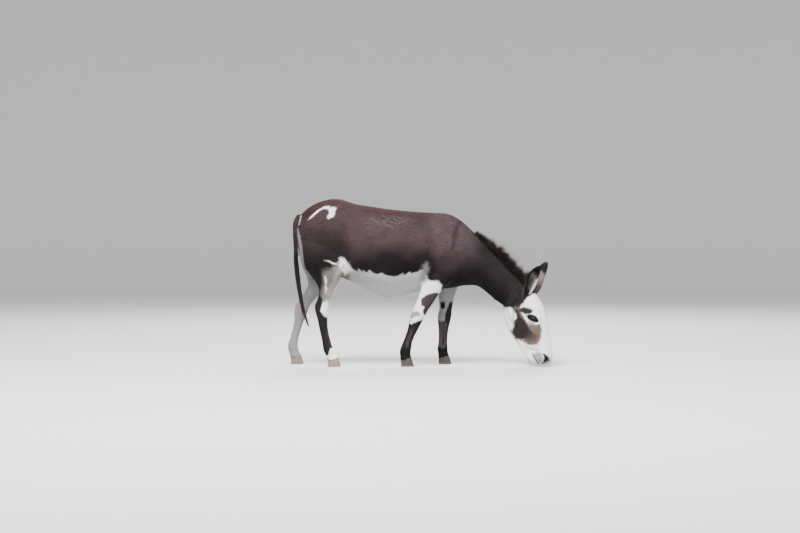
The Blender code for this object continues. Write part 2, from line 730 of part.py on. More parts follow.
def hoof_outline(spread):
    """Narrow horseshoe outline round the middle of the foot, toe towards +X."""
    points = []
    for index in range(HOOF_POINTS):
        angle = 2 * math.pi * (index + 0.5) / HOOF_POINTS
        along = math.cos(angle)
        across = math.sin(angle)
        if index in HOOF_HEEL:
            along = -abs(along) ** 0.7
            across = math.copysign(abs(across) ** 0.75 * 0.93, across)
        points.append((along * HOOF_HALF_LENGTH * spread, across * HOOF_HALF_WIDTH * spread))
    return points


def triangulate(item):
    """Turn every face into triangles."""
    shape = bmesh.new()
    shape.from_mesh(item.data)
    bmesh.ops.triangulate(shape, faces=shape.faces)
    shape.to_mesh(item.data)
    shape.free()


def swollen(item, name, amount, collection):
    """Copy of an object with its surface moved out along its normals."""
    twin = copy_object(item, name, collection)
    modifier = twin.modifiers.new("swell", "DISPLACE")
    modifier.mid_level = 0
    modifier.strength = amount
    apply_modifiers(twin)
    return twin


def ball(name, centre, radius, collection, segments=14):
    """Sphere with its poles out to the sides of the head."""
    shape = bmesh.new()
    turn = head_axes()[2].to_track_quat("Z", "Y").to_matrix().to_4x4()
    bmesh.ops.create_uvsphere(shape, u_segments=segments, v_segments=segments * 5 // 8,
                              radius=radius, matrix=Matrix.Translation(centre) @ turn)
    return add_object(name, shape, collection)


def make_eyes(head, parts, work):
    """Set each eyeball behind two lids, with an almond opening between them."""
    eyes = {}
    for name, side in (("eye_right", -1), ("eye_left", 1)):
        centre = on_head(EYE, side)
        lid = ball("lids", centre, EYE_RADIUS + LID_THICKNESS, work)
        boolean(head, lid, "UNION")
        remove(lid)
        outward = head_direction(EYE_OUTWARD, side)
        along = head_direction(EYE_CORNERS, side)
        along = (along - outward * along.dot(outward)).normalized()
        across = outward.cross(along) * -side
        rings = []
        for depth, spread in SLIT_DEPTHS:
            ring = []
            for index in range(16):
                turn = math.pi * index / 8
                height = EYE_OPENING[1] if math.sin(turn) > 0 else EYE_OPENING[2]
                arch = math.sin(turn) * (0.45 + 0.55 * abs(math.sin(turn)))
                reach = along * math.cos(turn) * EYE_OPENING[0] + across * arch * height
                ring.append(centre + outward * depth + reach * spread)
            rings.append(ring)
        slit = loft("slit", rings, work)
        boolean(head, slit, "DIFFERENCE")
        remove(slit)
        socket = ball("socket", centre, EYE_RADIUS + GAP, work)
        boolean(head, socket, "DIFFERENCE")
        remove(socket)
        eyes[name] = ball(name, centre, EYE_RADIUS, parts)
        triangulate(eyes[name])
    return eyes


def make_mouth(head, work):
    """Cut the nostrils and the line of the mouth."""
    for side in (-1, 1):
        for start, end, radius in (NOSTRIL_HOLE, NOSTRIL_WING):
            ends = [on_head([a + b for a, b in zip(NOSTRIL, offset)], side) for offset in (start, end)]
            hole = spindle("nostril", ends[0], ends[1], radius, work, 14)
            boolean(head, hole, "DIFFERENCE")
            remove(hole)
    corner = Vector(MOUTH_CORNER)
    front = Vector(MOUTH_FRONT)
    for side in (-1, 1):
        rings = []
        for step in range(6):
            share = step / 5
            place = corner.lerp(front, share)
            middle = place.y + math.sin(share * math.pi) * MOUTH_WIDTH
            half = MOUTH_WIDTH * (0.2 + 0.8 * math.sin(min(share * 1.5, 1) * math.pi / 2))
            inner = MOUTH_DEPTH[0] + (MOUTH_DEPTH[1] - MOUTH_DEPTH[0]) * share
            rings.append([on_head((place.x, middle + height, out), side)
                          for height, out in ((half, MOUTH_OUTSIDE), (half, inner),
                                              (-half, inner), (-half, MOUTH_OUTSIDE))])
        slit = loft("mouth_line", rings, work)
        boolean(head, slit, "DIFFERENCE")
        remove(slit)


def make_ear(side_name, side, head, parts, work):
    """Cupped ear, nearly a closed tube at the base and a pointed leaf at the tip."""
    base = on_head(EAR_BASES[side_name], side)
    tip = Vector(EAR_TIPS[side_name])
    axis = (tip - base).normalized()
    opening = Vector(EAR_OPENINGS[side_name])
    opening = (opening - axis * opening.dot(axis)).normalized()
    across = axis.cross(opening)
    start = base - axis * EAR_SUNK
    length = (tip - start).length
    outer, inner = [], []
    for row in range(EAR_ROWS + 1):
        share = row / EAR_ROWS
        width = ear_half_width(share)
        wrap = math.radians(EAR_WRAP[0] - EAR_WRAP[1] * min(share * 1.7, 1) - EAR_WRAP[2] * share)
        radius = width / max(math.sin(min(wrap, math.pi / 2)), 0.5)
        centre = start + axis * length * share - opening * EAR_BOW * math.sin(share * math.pi)
        leather = EAR_THICKNESS * (1 - 0.55 * share)
        outer_row, inner_row = [], []
        for column in range(EAR_COLUMNS + 1):
            turn = wrap * (2 * column / EAR_COLUMNS - 1)
            edge = 1 - 0.45 * abs(2 * column / EAR_COLUMNS - 1) ** 3
            ray = across * math.sin(turn) - opening * math.cos(turn)
            outer_row.append(centre + ray * radius)
            inner_row.append(centre + ray * max(radius - leather * edge, radius * 0.3))
        outer.append(outer_row)
        inner.append(inner_row)
    rings = [front + back[::-1] for front, back in zip(outer, inner)]
    ear = loft("ear_" + side_name, rings, parts)
    triangulate(ear)
    clearance = swollen(head, "head_clearance", EAR_CLEARANCE, work)
    boolean(ear, clearance, "DIFFERENCE")
    remove(clearance)
    return ear


def ear_half_width(share):
    """Half width of an ear along its length."""
    for (start, low), (end, high) in zip(EAR_WIDTHS, EAR_WIDTHS[1:]):
        if share <= end:
            part = (share - start) / (end - start)
            return low + (high - low) * part * part * (3 - 2 * part)
    return EAR_WIDTHS[-1][1]


def make_lock(path, wide, width, thickness, collection):
    """Flat lock tapering to a point along a path, which takes a share of the length."""
    shape = bmesh.new()
    loops = []
    for share, spread in LOCK_SHAPE:
        here = path(share)
        along = (path(share + 0.05) - here).normalized()
        across = (wide - along * wide.dot(along)).normalized()
        through = along.cross(across)
        half = width * spread / 2
        deep = thickness * (1 - 0.55 * share) / 2
        loops.append([shape.verts.new(here + across * half), shape.verts.new(here + through * deep),
                      shape.verts.new(here - across * half), shape.verts.new(here - through * deep)])
    tip = shape.verts.new(path(1.0))
    for first, second in zip(loops, loops[1:]):
        for index in range(4):
            shape.faces.new((first[index - 1], first[index], second[index], second[index - 1]))
    for index in range(4):
        shape.faces.new((loops[-1][index - 1], loops[-1][index], tip))
    shape.faces.new(loops[0])
    bmesh.ops.triangulate(shape, faces=shape.faces)
    bmesh.ops.recalc_face_normals(shape, faces=shape.faces)
    return add_object("lock", shape, collection)


def fuse_locks(item, locks):
    """Join a collection of locks to the piece that they grow from."""
    boolean(item, locks, "UNION", "MANIFOLD")
    for lock in list(locks.objects):
        remove(lock)
    bpy.data.collections.remove(locks)


def crest_place(share):
    """Point on the crest, direction along it and up from it at a share of the mane."""
    rows = [(row[0], row[4], row[1]) for row in NECK]
    place = MANE_REACH[0] + share * (MANE_REACH[1] - MANE_REACH[0])
    here = Vector(curve_point(rows, place))
    ahead = Vector(curve_point(rows, place + 0.2))
    along = (ahead - Vector(curve_point(rows, place - 0.2))).normalized()
    up = Vector((-along.z, 0, along.x)).normalized()
    return here, along, up


def add_mane(neck):
    """Upright, tousled locks along the crest, short at the withers."""
    draw = random.Random(SEED)
    locks = make_collection("mane_locks")
    for index in range(MANE_LOCKS):
        share = (index + 0.5 + draw.uniform(-0.3, 0.3)) / MANE_LOCKS
        here, along, up = crest_place(share)
        side = up.cross(along)
        row = index % 3 - 1
        height = MANE_HEIGHT * (0.42 + 0.58 * min(share / 0.42, 1)) * draw.uniform(0.84, 1.06)
        length = height + LOCK_ROOT
        tilt = along * draw.uniform(-0.10, 0.30) + side * (row * 0.24 + draw.uniform(-0.08, 0.08))
        start = here + side * row * MANE_ROWS - up * LOCK_ROOT
        rise = (up + tilt).normalized()
        curl = along * draw.uniform(-0.10, 0.28) + side * draw.uniform(-0.16, 0.16)
        wide = along + side * draw.uniform(-0.35, 0.35)

        def path(part, start=start, rise=rise, curl=curl, length=length):
            return start + (rise * part + curl * part**2) * length

        make_lock(path, wide, LOCK_WIDTH * draw.uniform(0.9, 1.15), LOCK_THICKNESS, locks)
    fuse_locks(neck, locks)


def add_forelock(head):
    """Tuft of standing locks between the ears."""
    draw = random.Random(SEED + 1)
    left = head_axes()[2]
    locks = make_collection("forelocks")
    for index in range(FORELOCKS):
        row = index // FORELOCK_COLUMNS
        across = (index % FORELOCK_COLUMNS - (FORELOCK_COLUMNS - 1) / 2) * FORELOCK_SPACING
        root = on_head((FORELOCK_BACK[0] + FORELOCK_STEP * row, FORELOCK_BACK[1] + FORELOCK_STEP * row,
                        across))
        rise = Vector((draw.uniform(0.08, 0.30), 0, 1)) + left * (across * FORELOCK_FAN + draw.uniform(-0.04, 0.04))
        rise.normalize()
        curl = Vector((draw.uniform(0.05, 0.20), draw.uniform(-0.08, 0.08), 0))
        length = FORELOCK_LENGTH * draw.uniform(0.84, 1.05) * (1 - 0.14 * row)
        wide = left + Vector((draw.uniform(-0.5, 0.5), 0, 0))

        def path(part, root=root, rise=rise, curl=curl, length=length):
            return root + (rise * part + curl * part**2) * length

        make_lock(path, wide, LOCK_WIDTH * 0.8, LOCK_THICKNESS, locks)
    fuse_locks(head, locks)


def switch_line(share):
    """Middle line of the tail's switch from inside the dock to the longest tips."""
    rows = [(x, TAIL_Y, z) for x, z in SWITCH_LINE]
    return Vector(curve_point(rows, share * (len(rows) - 1)))


def add_switch(tail):
    """Long locks round the end of the dock, which hang to a thin tip."""
    draw = random.Random(SEED + 2)
    locks = make_collection("switch_locks")
    for index in range(SWITCH_LOCKS):
        begin = SWITCH_START * index / (SWITCH_LOCKS - 1)
        end = begin + draw.uniform(*SWITCH_LOCK_SHARE)
        turn = index * 2.4
        out = Vector((math.cos(turn), math.sin(turn), 0))
        spread = draw.uniform(0.009, 0.014)

        def path(part, begin=begin, end=end, out=out, spread=spread):
            share = begin + (end - begin) * part
            bulge = 0.25 + 2.6 * part * (1 - part) + 0.25 * part
            return switch_line(share) + out * spread * bulge * (1.15 - share)

        wide = Vector((-out.y, out.x, 0))
        make_lock(path, wide, LOCK_WIDTH * draw.uniform(0.80, 0.98), LOCK_THICKNESS, locks)
    fuse_locks(tail, locks)


def make_tail(torso, parts, work):
    """Fleshy dock with its switch, cut clear of the croup."""
    rings = []
    rows = rows_between(DOCK, 2)
    for index, (x, z, radius) in enumerate(rows):
        after = rows[min(index + 1, len(rows) - 1)]
        before = rows[max(index - 1, 0)]
        along = Vector((after[0] - before[0], 0, after[1] - before[1])).normalized()
        across = Vector((0, 1, 0))
        out = along.cross(across)
        centre = Vector((x, TAIL_Y * min(1, index / 4), z))
        rings.append([centre + (across * math.cos(turn) + out * math.sin(turn)) * radius
                      for turn in (step * math.pi / 5 for step in range(10))])
    tail = loft("tail", rings, parts)
    triangulate(tail)
    add_switch(tail)
    clearance = swollen(torso, "torso_clearance", GAP, work)
    boolean(tail, clearance, "DIFFERENCE")
    remove(clearance)
    return tail


def finish(item, colour, roughness):
    """Give a node its material."""
    material = bpy.data.materials.new(item.name)
    material.use_nodes = True
    shader = material.node_tree.nodes["Principled BSDF"]
    shader.inputs["Base Color"].default_value = (*colour, 1)
    shader.inputs["Roughness"].default_value = roughness
    shader.inputs["Metallic"].default_value = 0.0
    item.data.materials.clear()
    item.data.materials.append(material)


def centre_on_floor(items):
    """Move every piece so that the middle of the whole box stands over the origin."""
    points = [vertex.co for item in items for vertex in item.data.vertices]
    shift = Vector((-(min(p.x for p in points) + max(p.x for p in points)) / 2,
                    -(min(p.y for p in points) + max(p.y for p in points)) / 2,
                    -min(p.z for p in points)))
    for item in items:
        item.data.transform(Matrix.Translation(shift))


def main():
    """Build every node."""
    clear_scene()
    parts = make_collection("miniature_donkey")
    work = make_collection("work")
    flesh = make_flesh(work)
    nodes = make_trunk_nodes(flesh, parts, work)
    remove(flesh)
    nodes.update(make_hooves(nodes, parts))
    nodes.update(make_eyes(nodes["head"], parts, work))
    make_mouth(nodes["head"], work)
    for side_name, side in (("right", -1), ("left", 1)):
        nodes["ear_" + side_name] = make_ear(side_name, side, nodes["head"], parts, work)
    nodes["tail"] = make_tail(nodes["torso"], parts, work)
    for name, node in nodes.items():
        node.name = name
        finish(node, *FINISHES[name])
    centre_on_floor(list(nodes.values()))


main()
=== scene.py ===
"""Looks of the miniature donkey: one skin with its coat, mane, tail, ears, eyes and hooves.

Metres, +Z up, +X towards the nose, +Y towards her left side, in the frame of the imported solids.
The skin is fused from the solids of the trunk and legs and from lofts of the neck, head and dock,
and lies inside the solids by the depth of the coat. Skin and hair take their colours from one set
of markings.
"""

from __future__ import annotations

import itertools
import json
import logging
import math
from dataclasses import astuple, dataclass
from enum import Enum

import bmesh
import bpy
import numpy as np
from mathutils import Matrix, Vector

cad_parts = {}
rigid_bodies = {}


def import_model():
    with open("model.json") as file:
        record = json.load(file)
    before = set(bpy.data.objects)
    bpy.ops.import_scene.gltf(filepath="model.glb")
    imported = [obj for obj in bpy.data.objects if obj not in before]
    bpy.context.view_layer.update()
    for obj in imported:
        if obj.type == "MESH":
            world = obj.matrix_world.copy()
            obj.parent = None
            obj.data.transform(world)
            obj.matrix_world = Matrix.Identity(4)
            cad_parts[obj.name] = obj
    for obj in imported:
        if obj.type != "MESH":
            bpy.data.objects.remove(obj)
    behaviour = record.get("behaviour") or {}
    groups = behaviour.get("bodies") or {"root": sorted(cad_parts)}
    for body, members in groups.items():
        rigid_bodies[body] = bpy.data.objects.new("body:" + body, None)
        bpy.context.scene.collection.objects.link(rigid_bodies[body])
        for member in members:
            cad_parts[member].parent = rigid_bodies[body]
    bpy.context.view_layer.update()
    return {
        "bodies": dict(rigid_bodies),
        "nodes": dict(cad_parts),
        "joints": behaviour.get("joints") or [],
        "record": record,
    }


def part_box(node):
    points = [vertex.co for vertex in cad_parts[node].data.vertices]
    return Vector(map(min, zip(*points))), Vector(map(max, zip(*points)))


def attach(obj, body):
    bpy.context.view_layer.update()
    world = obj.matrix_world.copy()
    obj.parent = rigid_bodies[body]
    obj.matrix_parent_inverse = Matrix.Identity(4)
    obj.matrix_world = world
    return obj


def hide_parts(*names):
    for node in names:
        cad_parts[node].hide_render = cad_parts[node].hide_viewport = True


LOG = logging.getLogger("miniature_donkey")
Array = np.ndarray
Item = bpy.types.Object
Triple = tuple[float, float, float]
Pair = tuple[float, float]
Rows = tuple[tuple[float, ...], ...]

UP = np.array((0.0, 0.0, 1.0))
COLOUR_NAME = "hair_colour"
ATLAS_NAME = "OFBake"
ATLAS_PATCH = 0.003  # side of the patch that one tuft takes on the unwrap
ATLAS_EDGE = 0.002  # margin of the unwrap


class Side(Enum):
    """Side of the animal that a marking lies on."""

    RIGHT = -1
    LEFT = 1
    BOTH = 0


class Shades(Enum):
    """Colours of hair, skin and horn, linear, some with painted light and shade in them."""

    # SADDLE and FLANK: brown high and low on the trunk, their difference partly painted light from above
    # and painted shade low on the flank; FLANK also darkens the thigh and the flecks and paints the
    # shadow in the flank fold
    SADDLE = (0.046, 0.0285, 0.0305)
    FLANK = (0.0085, 0.0058, 0.0066)
    RED_BACK = (0.040, 0.0200, 0.0195)
    # SHOULDER: lighter brown of the shoulder and upper arm, partly a painted sheen
    SHOULDER = (0.060, 0.0400, 0.0435)
    NECK = (0.0140, 0.0104, 0.0124)
    THROAT = (0.0028, 0.0022, 0.0027)
    BLACK = (0.0028, 0.0024, 0.0028)
    LEG_BROWN = (0.0130, 0.0096, 0.0106)
    # grey of the cannons, and a painted sheen stripe down the near fore cannon
    LEG_GREY_AND_SHEEN = (0.058, 0.049, 0.054)
    WHITE = (0.86, 0.845, 0.86)
    # white in painted shade, on the legs' inner faces, behind the elbow, on the far side and down the
    # buttock's edge
    SHADED_WHITE = (0.23, 0.222, 0.220)
    HAZE = (0.170, 0.155, 0.142)
    WARM_GREY = (0.16, 0.140, 0.130)
    PATCH_BROWN = (0.048, 0.0345, 0.0370)
    CHEEK = (0.026, 0.0175, 0.0175)
    TAN = (0.075, 0.0340, 0.0210)
    MUZZLE_GREY = (0.120, 0.123, 0.155)
    PINK = (0.64, 0.52, 0.52)
    BLOND = (0.17, 0.105, 0.062)


def ramp(low: float, high: float, values: Array) -> Array:
    """Rise smoothly from 0 at low to 1 at high."""
    part = np.clip((values - low) / (high - low), 0.0, 1.0)
    return part * part * (3 - 2 * part)


def bell(values: Array, middle: float, width: float) -> Array:
    """Rise to 1 at the middle and fall away on both sides."""
    return np.exp(-(((values - middle) / width) ** 2))


def blend(base: Array | Triple, goal: Array | Triple, share: Array | float) -> Array:
    """Rows on the way from the base to the goal, each by its own share."""
    return base + (np.asarray(goal) - base) * np.reshape(share, (-1, 1))


def unit(vectors: Array) -> Array:
    """Scale each vector to length one."""
    return vectors / np.maximum(np.linalg.norm(vectors, axis=-1, keepdims=True), 1e-12)


def span(rows: Array) -> Array:
    """Length of the first two measures of each row."""
    return np.hypot(rows[:, 0], rows[:, 1])


def noise(points: Array, grain: float, seed: int) -> Array:
    """Smooth noise in space.

    Args:
        points: Places, one a row.
        grain: Size of the lumps in metres.
        seed: Number that tells one noise from another.

    Returns:
        A value from -1 to 1 for each place.
    """
    cells = points / grain + seed * 17.31
    corner = np.floor(cells).astype(np.int64)
    part = cells - corner
    part = part * part * (3 - 2 * part)
    total = np.zeros(len(points))
    for step in itertools.product((0, 1), repeat=3):
        at = corner + np.array(step)
        key = (at[:, 0] * 73856093) ^ (at[:, 1] * 19349663) ^ (at[:, 2] * 83492791) ^ (seed * 2654435)
        key = (key ^ (key >> 13)) * 1274126177 & 0xFFFFFFFF
        key = (key ^ (key >> 15)) * 2246822519 & 0xFFFFFFFF
        share = np.prod(np.where(np.array(step) == 1, part, 1 - part), axis=1)
        total += share * (key / 2147483648.0 - 1.0)
    return total


def outline_distance(places: Array, corners: Array) -> Array:
    """Distance to a closed outline, less than 0 inside.

    Args:
        places: Flat places, one a row.
        corners: Corners in order, one a row.

    Returns:
        A distance for each place.
    """
    nearest = np.full(len(places), 1e9)
    inside = np.zeros(len(places), bool)
    for start, end in zip(corners, np.roll(corners, -1, axis=0)):
        edge = end - start
        share = np.clip((places - start) @ edge / (edge @ edge), 0, 1)
        gap = np.linalg.norm(places - start - share[:, None] * edge, axis=1)
        nearest = np.minimum(nearest, gap)
        crosses = (start[1] > places[:, 1]) != (end[1] > places[:, 1])
        rise = end[1] - start[1] if abs(end[1] - start[1]) > 1e-9 else 1e-9
        meets = start[0] + (places[:, 1] - start[1]) * edge[0] / rise
        inside ^= crosses & (places[:, 0] < meets)
    return np.where(inside, -nearest, nearest)


def path_distance(places: Array, path: Array) -> Array:
    """Distance to a stroke whose half width changes along it, less than 0 inside.

    Args:
        places: Flat places, one a row.
        path: Points of the stroke, each with its half width, one a row.

    Returns:
        A distance for each place.
    """
    nearest = np.full(len(places), 1e9)
    for start, end in zip(path, path[1:]):
        edge = end[:2] - start[:2]
        share = np.clip((places - start[:2]) @ edge / (edge @ edge), 0, 1)
        gap = np.linalg.norm(places - start[:2] - share[:, None] * edge, axis=1)
        nearest = np.minimum(nearest, gap - (start[2] + (end[2] - start[2]) * share))
    return nearest


def curve_rows(rows: Rows, steps: int) -> Array:
    """Rows of numbers on a smooth curve through the given ones.

    Args:
        rows: Given rows.
        steps: Steps between each two of them.

    Returns:
        All rows, the given ones among them.
    """
    table = np.array(rows, float)
    padded = np.vstack((table[:1], table, table[-1:]))
    result = []
    for index in range(len(table) - 1):
        before, start, end, after = padded[index:index + 4]
        slope = (end - before) / 2
        next_slope = (after - start) / 2
        for step in range(steps):
            part = step / steps
            result.append(start + slope * part + (3 * (end - start) - 2 * slope - next_slope) * part**2
                          + (slope + next_slope - 2 * (end - start)) * part**3)
    result.append(table[-1])
    return np.array(result)


def closed_curve(points: Array, steps: int) -> Array:
    """Smooth closed curve through points, as rows."""
    wrapped = np.vstack((points[-1:], points, points[:2]))
    rows = curve_rows(tuple(map(tuple, wrapped)), steps)
    return rows[steps:steps * (len(points) + 1)]


def section(bottom: Array, top: Array, side: Array, levels: tuple[float, ...], widths: Array,
            steps: int = 6) -> Array:
    """Ring round the line from bottom to top.

    Args:
        bottom: Lowest point.
        top: Highest point.
        side: Direction of the widths.
        levels: Shares of the way up at which the widths hold.
        widths: Half widths.
        steps: Points between each two given ones.

    Returns:
        The ring's points.
    """
    rise = top - bottom
    left = [bottom + rise * level + side * width for level, width in zip(levels, widths)]
    right = [bottom + rise * level - side * width for level, width in zip(levels, widths)]
    return closed_curve(np.array([top] + left + [bottom] + right[::-1]), steps)


def new_item(name: str, data: bpy.types.ID) -> Item:
    """Object with its data, linked to the scene."""
    item = bpy.data.objects.new(name, data)
    bpy.context.scene.collection.objects.link(item)
    return item


def worked_item(name: str, shape: bmesh.types.BMesh) -> Item:
    """Object made of a worked mesh, which is freed."""
    mesh = bpy.data.meshes.new(name)
    shape.to_mesh(mesh)
    shape.free()
    return new_item(name, mesh)


def make_mesh(name: str, points: Array, faces: list[Array]) -> Item:
    """Object from points and blocks of faces.

    Args:
        name: Name of the piece.
        points: Places, one a row.
        faces: Blocks of faces, all of one block with the same number of corners.

    Returns:
        The object, linked to the scene.
    """
    mesh = bpy.data.meshes.new(name)
    corners = np.concatenate([block.ravel() for block in faces]).astype(np.int32)
    sizes = np.concatenate([np.full(len(block), block.shape[1]) for block in faces])
    starts = np.concatenate(([0], np.cumsum(sizes)[:-1])).astype(np.int32)
    mesh.vertices.add(len(points))
    mesh.vertices.foreach_set("co", points.astype(np.float32).ravel())
    mesh.loops.add(len(corners))
    mesh.loops.foreach_set("vertex_index", corners)
    mesh.polygons.add(len(sizes))
    mesh.polygons.foreach_set("loop_start", starts)
    mesh.update(calc_edges=True)
    return new_item(name, mesh)


def loft_faces(rings: int, around: int) -> list[Array]:
    """Faces between rings of the same number of points, with a cap at both ends.

    Args:
        rings: How many rings.
        around: Points in each.

    Returns:
        Blocks of faces for make_mesh.
    """
    ring = np.arange(rings - 1)[:, None] * around
    here = np.arange(around)[None, :]
    after = (here + 1) % around
    quads = np.stack((ring + here, ring + after, ring + after + around, ring + here + around), -1)
    last = (rings - 1) * around
    return [quads.reshape(-1, 4), np.arange(around)[None, ::-1], (last + np.arange(around))[None, :]]


def loft(name: str, rings: list[Array]) -> Item:
    """Closed mesh through rings, faces outwards."""
    item = make_mesh(name, np.vstack(rings), loft_faces(len(rings), len(rings[0])))
    face_outwards(item)
    return item


def coloured_loft(name: str, rings: list[Array], shades: list[Array]) -> Item:
    """Smooth closed mesh through rings that have their colours."""
    item = loft(name, rings)
    set_colours(item, np.vstack(shades))
    shade_smooth(item)
    return item


def face_outwards(item: Item) -> None:
    """Merge the doubles of a closed mesh and recalculate its normals."""
    shape = bmesh.new()
    shape.from_mesh(item.data)
    bmesh.ops.remove_doubles(shape, verts=shape.verts, dist=1e-6)
    bmesh.ops.recalc_face_normals(shape, faces=shape.faces)
    shape.to_mesh(item.data)
    shape.free()


def shade_smooth(item: Item) -> None:
    """Shade every face of an object smooth."""
    item.data.polygons.foreach_set("use_smooth", np.ones(len(item.data.polygons), bool))
    item.data.update()


def vertex_places(item: Item) -> Array:
    """Places of an object's vertices, one a row."""
    return read_rows(item.data.vertices, "co")


def set_places(item: Item, places: Array) -> None:
    """Move an object's vertices."""
    item.data.vertices.foreach_set("co", places.astype(np.float32).ravel())
    item.data.update()


def vertex_normals(item: Item) -> Array:
    """Normals of an object's vertices, one a row."""
    return read_rows(item.data.vertex_normals, "vector")


def read_rows(holders: bpy.types.bpy_prop_collection, name: str) -> Array:
    """Rows of three numbers that a mesh holds under a name."""
    values = np.empty(len(holders) * 3, np.float32)
    holders.foreach_get(name, values)
    return values.reshape(-1, 3).astype(float)


def set_colours(item: Item, colours: Array) -> None:
    """Store a colour for each vertex of an object."""
    layer = item.data.color_attributes.new(COLOUR_NAME, "FLOAT_COLOR", "POINT")
    values = np.ones((len(colours), 4), np.float32)
    values[:, :3] = np.clip(colours, 0, 1)
    layer.data.foreach_set("color", values.ravel())


def set_atlas(item: Item, places: Array) -> None:
    """Store the unwrap of an object, given for each vertex."""
    corners = np.empty(len(item.data.loops), np.int32)
    item.data.loops.foreach_get("vertex_index", corners)
    layer = item.data.uv_layers.new(name=ATLAS_NAME)
    layer.uv.foreach_set("vector", places[corners].astype(np.float32).ravel())


def apply_modifiers(item: Item) -> None:
    """Replace an object's mesh by what its modifiers make of it."""
    bpy.context.view_layer.update()
    evaluated = item.evaluated_get(bpy.context.evaluated_depsgraph_get())
    mesh = bpy.data.meshes.new_from_object(evaluated)
    old = item.data
    item.modifiers.clear()
    item.data = mesh
    bpy.data.meshes.remove(old)


def discard(item: Item) -> None:
    """Delete an object with its mesh."""
    mesh = item.data
    bpy.data.objects.remove(item)
    bpy.data.meshes.remove(mesh)


@dataclass(frozen=True)
class HeadFrame:
    """Axes of the head: the poll, how far the face hangs forward of plumb, and its turn."""

    poll: Triple = (0.6262, -0.0551, 0.462)
    pitch: float = math.radians(12.0)
    yaw: float = math.radians(-22.0)

    def axes(self) -> Array:
        """Directions down the face, forward and to her left, as rows."""
        forward = np.array((math.cos(self.yaw), math.sin(self.yaw), 0.0))
        down = forward * math.sin(self.pitch) - UP * math.cos(self.pitch)
        left = np.array((-math.sin(self.yaw), math.cos(self.yaw), 0.0))
        return np.array((down, forward, left))

    def world(self, places: Array) -> Array:
        """World places of head places: down the face, forward, to her left."""
        return np.array(self.poll) + np.asarray(places, float) @ self.axes()

    def local(self, points: Array) -> Array:
        """Head places of world points."""
        return (points - np.array(self.poll)) @ np.linalg.inv(self.axes())

    def direction(self, parts: Triple, side: int) -> Array:
        """Unit direction from its parts, the last one out to a side."""
        return unit(np.array((parts[0], parts[1], parts[2] * side)) @ self.axes())


HEAD = HeadFrame()


@dataclass(frozen=True)
class HeadShape:
    """Sections and muscles of the head, down from the poll.

    A row holds the distance down, the face side and jaw side of the long axis, and half widths
    near the face, at the orbits, at the cheek and at the jaw, all in millimetres. A muscle has its
    two ends, as places in the head's axes, and its radius.
    """

    levels: tuple[float, ...] = (0.93, 0.78, 0.44, 0.10)
    rows: Rows = (
        (-20, -12, -80, 18, 32, 36, 26),
        (0, 14, -100, 30, 48, 52, 38),
        (40, 44, -134, 42, 61, 60, 36),
        (90, 68, -158, 50, 73, 61, 32),
        (140, 81, -170, 53, 79, 62, 29),
        (190, 86, -177, 48, 75, 60, 27),
        (240, 87, -172, 38, 59, 53, 25),
        (290, 85, -152, 29, 48, 44, 24),
        (335, 82, -127, 25, 41, 38, 23),
        (375, 79, -106, 24, 40, 37, 23),
        (408, 73, -93, 25, 43, 38, 25),
        (438, 61, -80, 23, 41, 36, 23),
        (460, 40, -58, 15, 29, 27, 16),
    )
    muscles: tuple[tuple[tuple[float, ...], tuple[float, ...], float], ...] = (
        ((158, 26, 62), (190, 52, 60), 17),
        ((108, 30, 56), (150, 34, 64), 17),
        ((125, -112, 31), (225, -88, 29), 31),
        ((120, -50, 42), (215, -45, 42), 24),
        ((215, -6, 54), (310, 6, 34), 12),
        ((398, 46, 28), (436, 26, 31), 15.5),
        ((418, -60, 12), (440, -50, 14), 24),
    )

    def rings(self) -> list[Array]:
        """Rings across the head from the poll to the lips."""
        left = HEAD.axes()[2]
        result = []
        for down, face, jaw, *widths in curve_rows(np.array(self.rows) / 1000, 5):
            bottom = HEAD.world(np.array((down, jaw, 0)))
            top = HEAD.world(np.array((down, face, 0)))
            result.append(section(bottom, top, left, self.levels, widths))
        return result

    def muscle_forms(self) -> list[Item]:
        """Ellipsoids that swell the cheeks, brows, nostrils and chin."""
        forms = []
        for side in (-1, 1):
            for start, end, radius in self.muscles:
                ends = (HEAD.world(np.array(place) * (1, 1, side) / 1000) for place in (start, end))
                forms.append(spindle(*ends, radius / 1000))
        return forms


def spindle(start: Array, end: Array, radius: float) -> Item:
    """Ellipsoid from a little before the start to a little past the end."""
    axis = Vector(end - start)
    turn = axis.to_track_quat("Z", "Y").to_matrix().to_4x4()
    sizes = Matrix.Diagonal((radius, radius, axis.length / 2 + radius * 0.8, 1))
    shape = bmesh.new()
    bmesh.ops.create_uvsphere(shape, u_segments=36, v_segments=22, radius=1,
                              matrix=Matrix.Translation(Vector((start + end) / 2)) @ turn @ sizes)
    return worked_item("muscle", shape)


